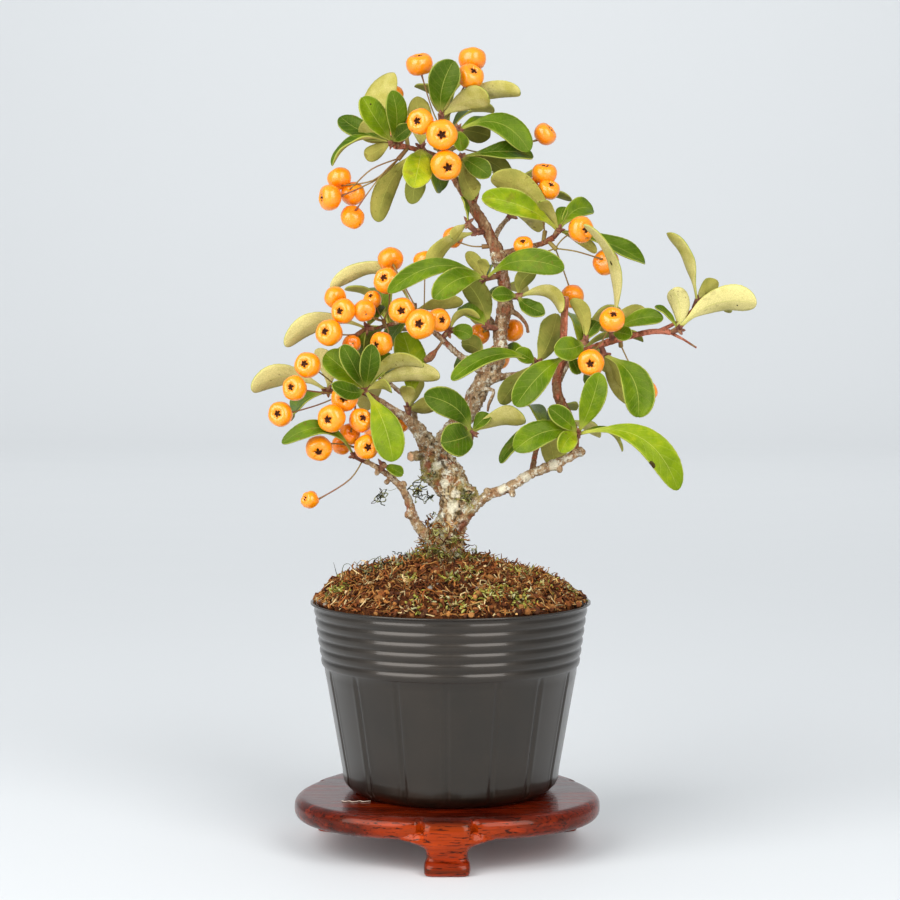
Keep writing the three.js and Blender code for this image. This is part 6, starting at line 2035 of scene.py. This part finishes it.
def press_grooves(vert):
    """Presses a vertex of the board in where it lies in a groove beside a foot's tongue."""
    for foot in range(FEET):
        turn = math.radians(-90 + 360 / FEET * foot)
        ahead = vert.co.x * math.cos(turn) + vert.co.y * math.sin(turn)
        aside = -vert.co.x * math.sin(turn) + vert.co.y * math.cos(turn)
        if ahead < TONGUE_GROOVE_START:
            continue
        off = abs(aside) - TONGUE_HALF - TONGUE_GROOVE_OFF
        depth = TONGUE_GROOVE_DEPTH * bell(off, TONGUE_GROOVE_WIDTH)
        depth *= smooth_step(*TONGUE_GROOVE_RISE, ahead)
        vert.co.x -= depth * math.cos(turn)
        vert.co.y -= depth * math.sin(turn)


def rounded_block(rows, sharpness):
    """A block whose level sections are rounded oblongs: each row is height, half width, front, back."""
    small = bmesh.new()
    bmesh.ops.create_cone(
        small, cap_ends=True, segments=FOOT_WIDTH_STEPS, radius1=1, radius2=1, depth=1
    )
    upright = [e for e in small.edges if abs(e.verts[0].co.z - e.verts[1].co.z) > 0.5]
    bmesh.ops.subdivide_edges(small, edges=upright, cuts=len(rows) - 2, use_grid_fill=True)
    for vert in small.verts:
        height, half, front, back = rows[round((vert.co.z + 0.5) * (len(rows) - 1))]
        x, y = (math.copysign(abs(value) ** sharpness, value) for value in vert.co.xy)
        front -= FLARE_DRAWN_BACK * smooth_step(FLARE_START, FLARE_END, abs(x * half))
        vert.co = (x * half, -mix(back, front, 0.5 - 0.5 * y), height)
    return small


def scroll(side):
    """The small rolled end beside a foot's tongue, with its face to the front."""
    small = turned(SCROLL, 28)
    across, front, height = SCROLL_PLACE
    lay = Matrix.Translation((across * side, -front, height)) @ Matrix.Rotation(math.pi / 2, 4, "X")
    small.transform(lay @ Matrix.Scale(0.85, 4, (0, 1, 0)))
    return small


def nearness_to_foot(spot):
    """How near a place on the stand is to the front of a foot: 1 on it, 0 between the feet."""
    turn = math.atan2(spot.y, spot.x) + math.pi / 2
    aside = abs(math.remainder(turn, math.tau / FEET)) * math.hypot(spot.x, spot.y)
    high = mix(0.35, 1, smooth_step(3, 8, spot.z)) * smooth_step(16.2, 13.5, spot.z)
    return smooth_step(34, 6, aside) * smooth_step(25, 42, math.hypot(spot.x, spot.y)) * high


def make_stand(materials):
    """The carved stand: its board, and three feet that end in a rolled toe."""
    whole = Gathering()
    whole.take(make_board())
    for foot in range(FEET):
        turn = Matrix.Rotation(math.tau / FEET * foot, 4, "Z")
        for part in (rounded_block(FOOT_ROWS, 0.45), rounded_block(TONGUE_ROWS, 0.35), scroll(-1), scroll(1)):
            part.transform(turn)
            whole.take(part)
    shape = whole.mesh()
    near = shape.verts.layers.float_color.new("wood_tint")
    for vert in shape.verts:
        vert[near] = (nearness_to_foot(vert.co), 0, 0, 1)
    bmesh.ops.translate(shape, verts=shape.verts, vec=(in_mm(sizes().stand_shift), 0, 0))
    piece = make_piece("stand_carved", shape, materials, ["stand"])
    piece.data.set_sharp_from_angle(angle=math.radians(40))


def backdrop_place(x, along):
    """A place on the backdrop, a distance along it: level at first, then curving to upright."""
    past = along - BACKDROP_STRAIGHT
    quarter = BACKDROP_RADIUS * math.pi / 2
    if past < 0:
        return (x, along, 0)
    if past < quarter:
        bend = past / BACKDROP_RADIUS
        y = BACKDROP_STRAIGHT + BACKDROP_RADIUS * math.sin(bend)
        return (x, y, BACKDROP_RADIUS * (1 - math.cos(bend)))
    return (x, BACKDROP_STRAIGHT + BACKDROP_RADIUS, BACKDROP_RADIUS + past - quarter)


def make_backdrop(material):
    """A pale floor that curves up far behind the object."""
    small = bmesh.new()
    bmesh.ops.create_grid(small, x_segments=8, y_segments=60, size=0.5)
    for vert in small.verts:
        along = (vert.co.y + 0.5) * BACKDROP_LENGTH + BACKDROP_FRONT
        vert.co = backdrop_place(vert.co.x * BACKDROP_WIDTH, along)
    mesh = bpy.data.meshes.new("backdrop")
    for face in small.faces:
        face.smooth = True
    small.to_mesh(mesh)
    small.free()
    mesh.materials.append(material)
    backdrop = bpy.data.objects.new("backdrop", mesh)
    bpy.context.scene.collection.objects.link(backdrop)


def soft_light(name, spot, target, width, height, power):
    """An area light at a spot, turned to its target."""
    light = bpy.data.lights.new(name, "AREA")
    light.shape = "RECTANGLE"
    light.size = width
    light.size_y = height
    light.energy = power
    lamp = bpy.data.objects.new(name, light)
    bpy.context.scene.collection.objects.link(lamp)
    lamp.location = spot
    lamp.rotation_euler = (target - spot).to_track_quat("-Z", "Y").to_euler()


def make_camera():
    """The camera at the photograph's angle."""
    camera = bpy.data.cameras.new("camera")
    camera.sensor_width = 36
    camera.lens = LENS
    holder = bpy.data.objects.new("camera", camera)
    bpy.context.scene.collection.objects.link(holder)
    holder.location = POT_AXIS + EYE * MM
    holder.rotation_euler = (math.radians(90 - CAMERA_DIP), 0, 0)
    bpy.context.scene.camera = holder


def make_world():
    """Soft light from all around."""
    world = bpy.data.worlds.new("studio")
    world.use_nodes = True
    sky = world.node_tree.nodes["Background"]
    sky.inputs["Color"].default_value = (0.9, 0.95, 1, 1)
    sky.inputs["Strength"].default_value = WORLD_STRENGTH
    bpy.context.scene.world = world
    bpy.context.scene.view_settings.view_transform = "Standard"


def make_stage():
    """The backdrop, the lights, the world and the camera."""
    make_backdrop(pale_floor())
    for name, azimuth, elevation, distance, *values in LIGHTS:
        turn, rise = math.radians(azimuth), math.radians(elevation)
        out = Vector((math.sin(turn) * math.cos(rise), -math.cos(turn) * math.cos(rise), math.sin(rise)))
        target = POT_AXIS + LIGHTS_TARGET
        soft_light(name, target + out * distance, target, *values)
    soft_light("backdrop_wash", Vector(WASH_PLACE), Vector(WASH_TARGET), *WASH_SIZE, WASH_POWER)
    make_world()
    make_camera()


class FIRETHORN_OT_stand(bpy.types.Operator):
    """Make the carved three-footed stand and the fibre that lies on it"""

    bl_idname = "firethorn.stand"
    bl_label = "Carved stand"
    bl_options = {"REGISTER", "UNDO"}

    def execute(self, context):
        make_stand([lacquered_wood()])
        make_board_fibre([speckled("dry_fibre")])
        return {"FINISHED"}


class FIRETHORN_OT_pot(bpy.types.Operator):
    """Make the ribbed plastic nursery pot"""

    bl_idname = "firethorn.pot"
    bl_label = "Nursery pot"
    bl_options = {"REGISTER", "UNDO"}

    def execute(self, context):
        make_pot([pot_plastic()])
        return {"FINISHED"}


class FIRETHORN_OT_soil(bpy.types.Operator):
    """Make the soil with its crumbs and peat fibres"""

    bl_idname = "firethorn.soil"
    bl_label = "Soil"
    bl_options = {"REGISTER", "UNDO"}

    def execute(self, context):
        make_soil([peat()])
        make_crumbs([speckled("crumbs")])
        make_fibres([speckled("peat_fibre")])
        return {"FINISHED"}


class FIRETHORN_OT_moss(bpy.types.Operator):
    """Make the moss, the sprouts and the dry wisps"""

    bl_idname = "firethorn.moss"
    bl_label = "Moss and sprouts"
    bl_options = {"REGISTER", "UNDO"}

    def execute(self, context):
        make_moss([speckled("moss_stems")])
        make_sprouts([speckled("sprouts")])
        return {"FINISHED"}


class FIRETHORN_OT_wood(bpy.types.Operator):
    """Make the trunk and its branches"""

    bl_idname = "firethorn.wood"
    bl_label = "Trunk and branches"
    bl_options = {"REGISTER", "UNDO"}

    def execute(self, context):
        make_wood([bark()])
        return {"FINISHED"}


class FIRETHORN_OT_sprays(bpy.types.Operator):
    """Make the leafy sprays, in front and behind"""

    bl_idname = "firethorn.sprays"
    bl_label = "Leafy sprays"
    bl_options = {"REGISTER", "UNDO"}

    def execute(self, context):
        materials = [leaf_upper(), leaf_under(), shoot_bark()]
        make_sprays(materials)
        make_back_sprays(materials)
        return {"FINISHED"}


class FIRETHORN_OT_bunches(bpy.types.Operator):
    """Make the bunches of berries"""

    bl_idname = "firethorn.bunches"
    bl_label = "Bunches of berries"
    bl_options = {"REGISTER", "UNDO"}

    def execute(self, context):
        make_bunches([berry_skin(), berry_calyx(), berry_stalk()])
        return {"FINISHED"}


class FIRETHORN_OT_stage(bpy.types.Operator):
    """Make the floor, the lights and the camera"""

    bl_idname = "firethorn.stage"
    bl_label = "Stage"
    bl_options = {"REGISTER", "UNDO"}

    def execute(self, context):
        make_stage()
        return {"FINISHED"}


class FIRETHORN_PT_sidebar(bpy.types.Panel):
    """Lists the pieces of the bonsai."""

    bl_idname = "FIRETHORN_PT_sidebar"
    bl_label = "Firethorn bonsai"
    bl_space_type = "VIEW_3D"
    bl_region_type = "UI"
    bl_category = "Firethorn"

    def draw(self, context):
        column = self.layout.column()
        for operator in OPERATORS:
            column.operator(operator.bl_idname)
        for group in (sizes(), counts(), colours()):
            for name in group.__annotations__:
                column.prop(group, name)


OPERATORS = (
    FIRETHORN_OT_stage,
    FIRETHORN_OT_stand,
    FIRETHORN_OT_pot,
    FIRETHORN_OT_soil,
    FIRETHORN_OT_moss,
    FIRETHORN_OT_wood,
    FIRETHORN_OT_sprays,
    FIRETHORN_OT_bunches,
)
SETTINGS = (FirethornSizes, FirethornCounts, FirethornColours)


def register():
    for cls in (*SETTINGS, *OPERATORS, FIRETHORN_PT_sidebar):
        bpy.utils.register_class(cls)
    bpy.types.Scene.firethorn_sizes = PointerProperty(type=FirethornSizes)
    bpy.types.Scene.firethorn_counts = PointerProperty(type=FirethornCounts)
    bpy.types.Scene.firethorn_colours = PointerProperty(type=FirethornColours)


def unregister():
    del bpy.types.Scene.firethorn_colours
    del bpy.types.Scene.firethorn_counts
    del bpy.types.Scene.firethorn_sizes
    for cls in reversed((*SETTINGS, *OPERATORS, FIRETHORN_PT_sidebar)):
        bpy.utils.unregister_class(cls)


def main():
    register()
    bpy.ops.firethorn.stage()
    bpy.ops.firethorn.stand()
    bpy.ops.firethorn.pot()
    bpy.ops.firethorn.soil()
    bpy.ops.firethorn.moss()
    bpy.ops.firethorn.wood()
    bpy.ops.firethorn.sprays()
    bpy.ops.firethorn.bunches()


if __name__ == "__main__":
    main()
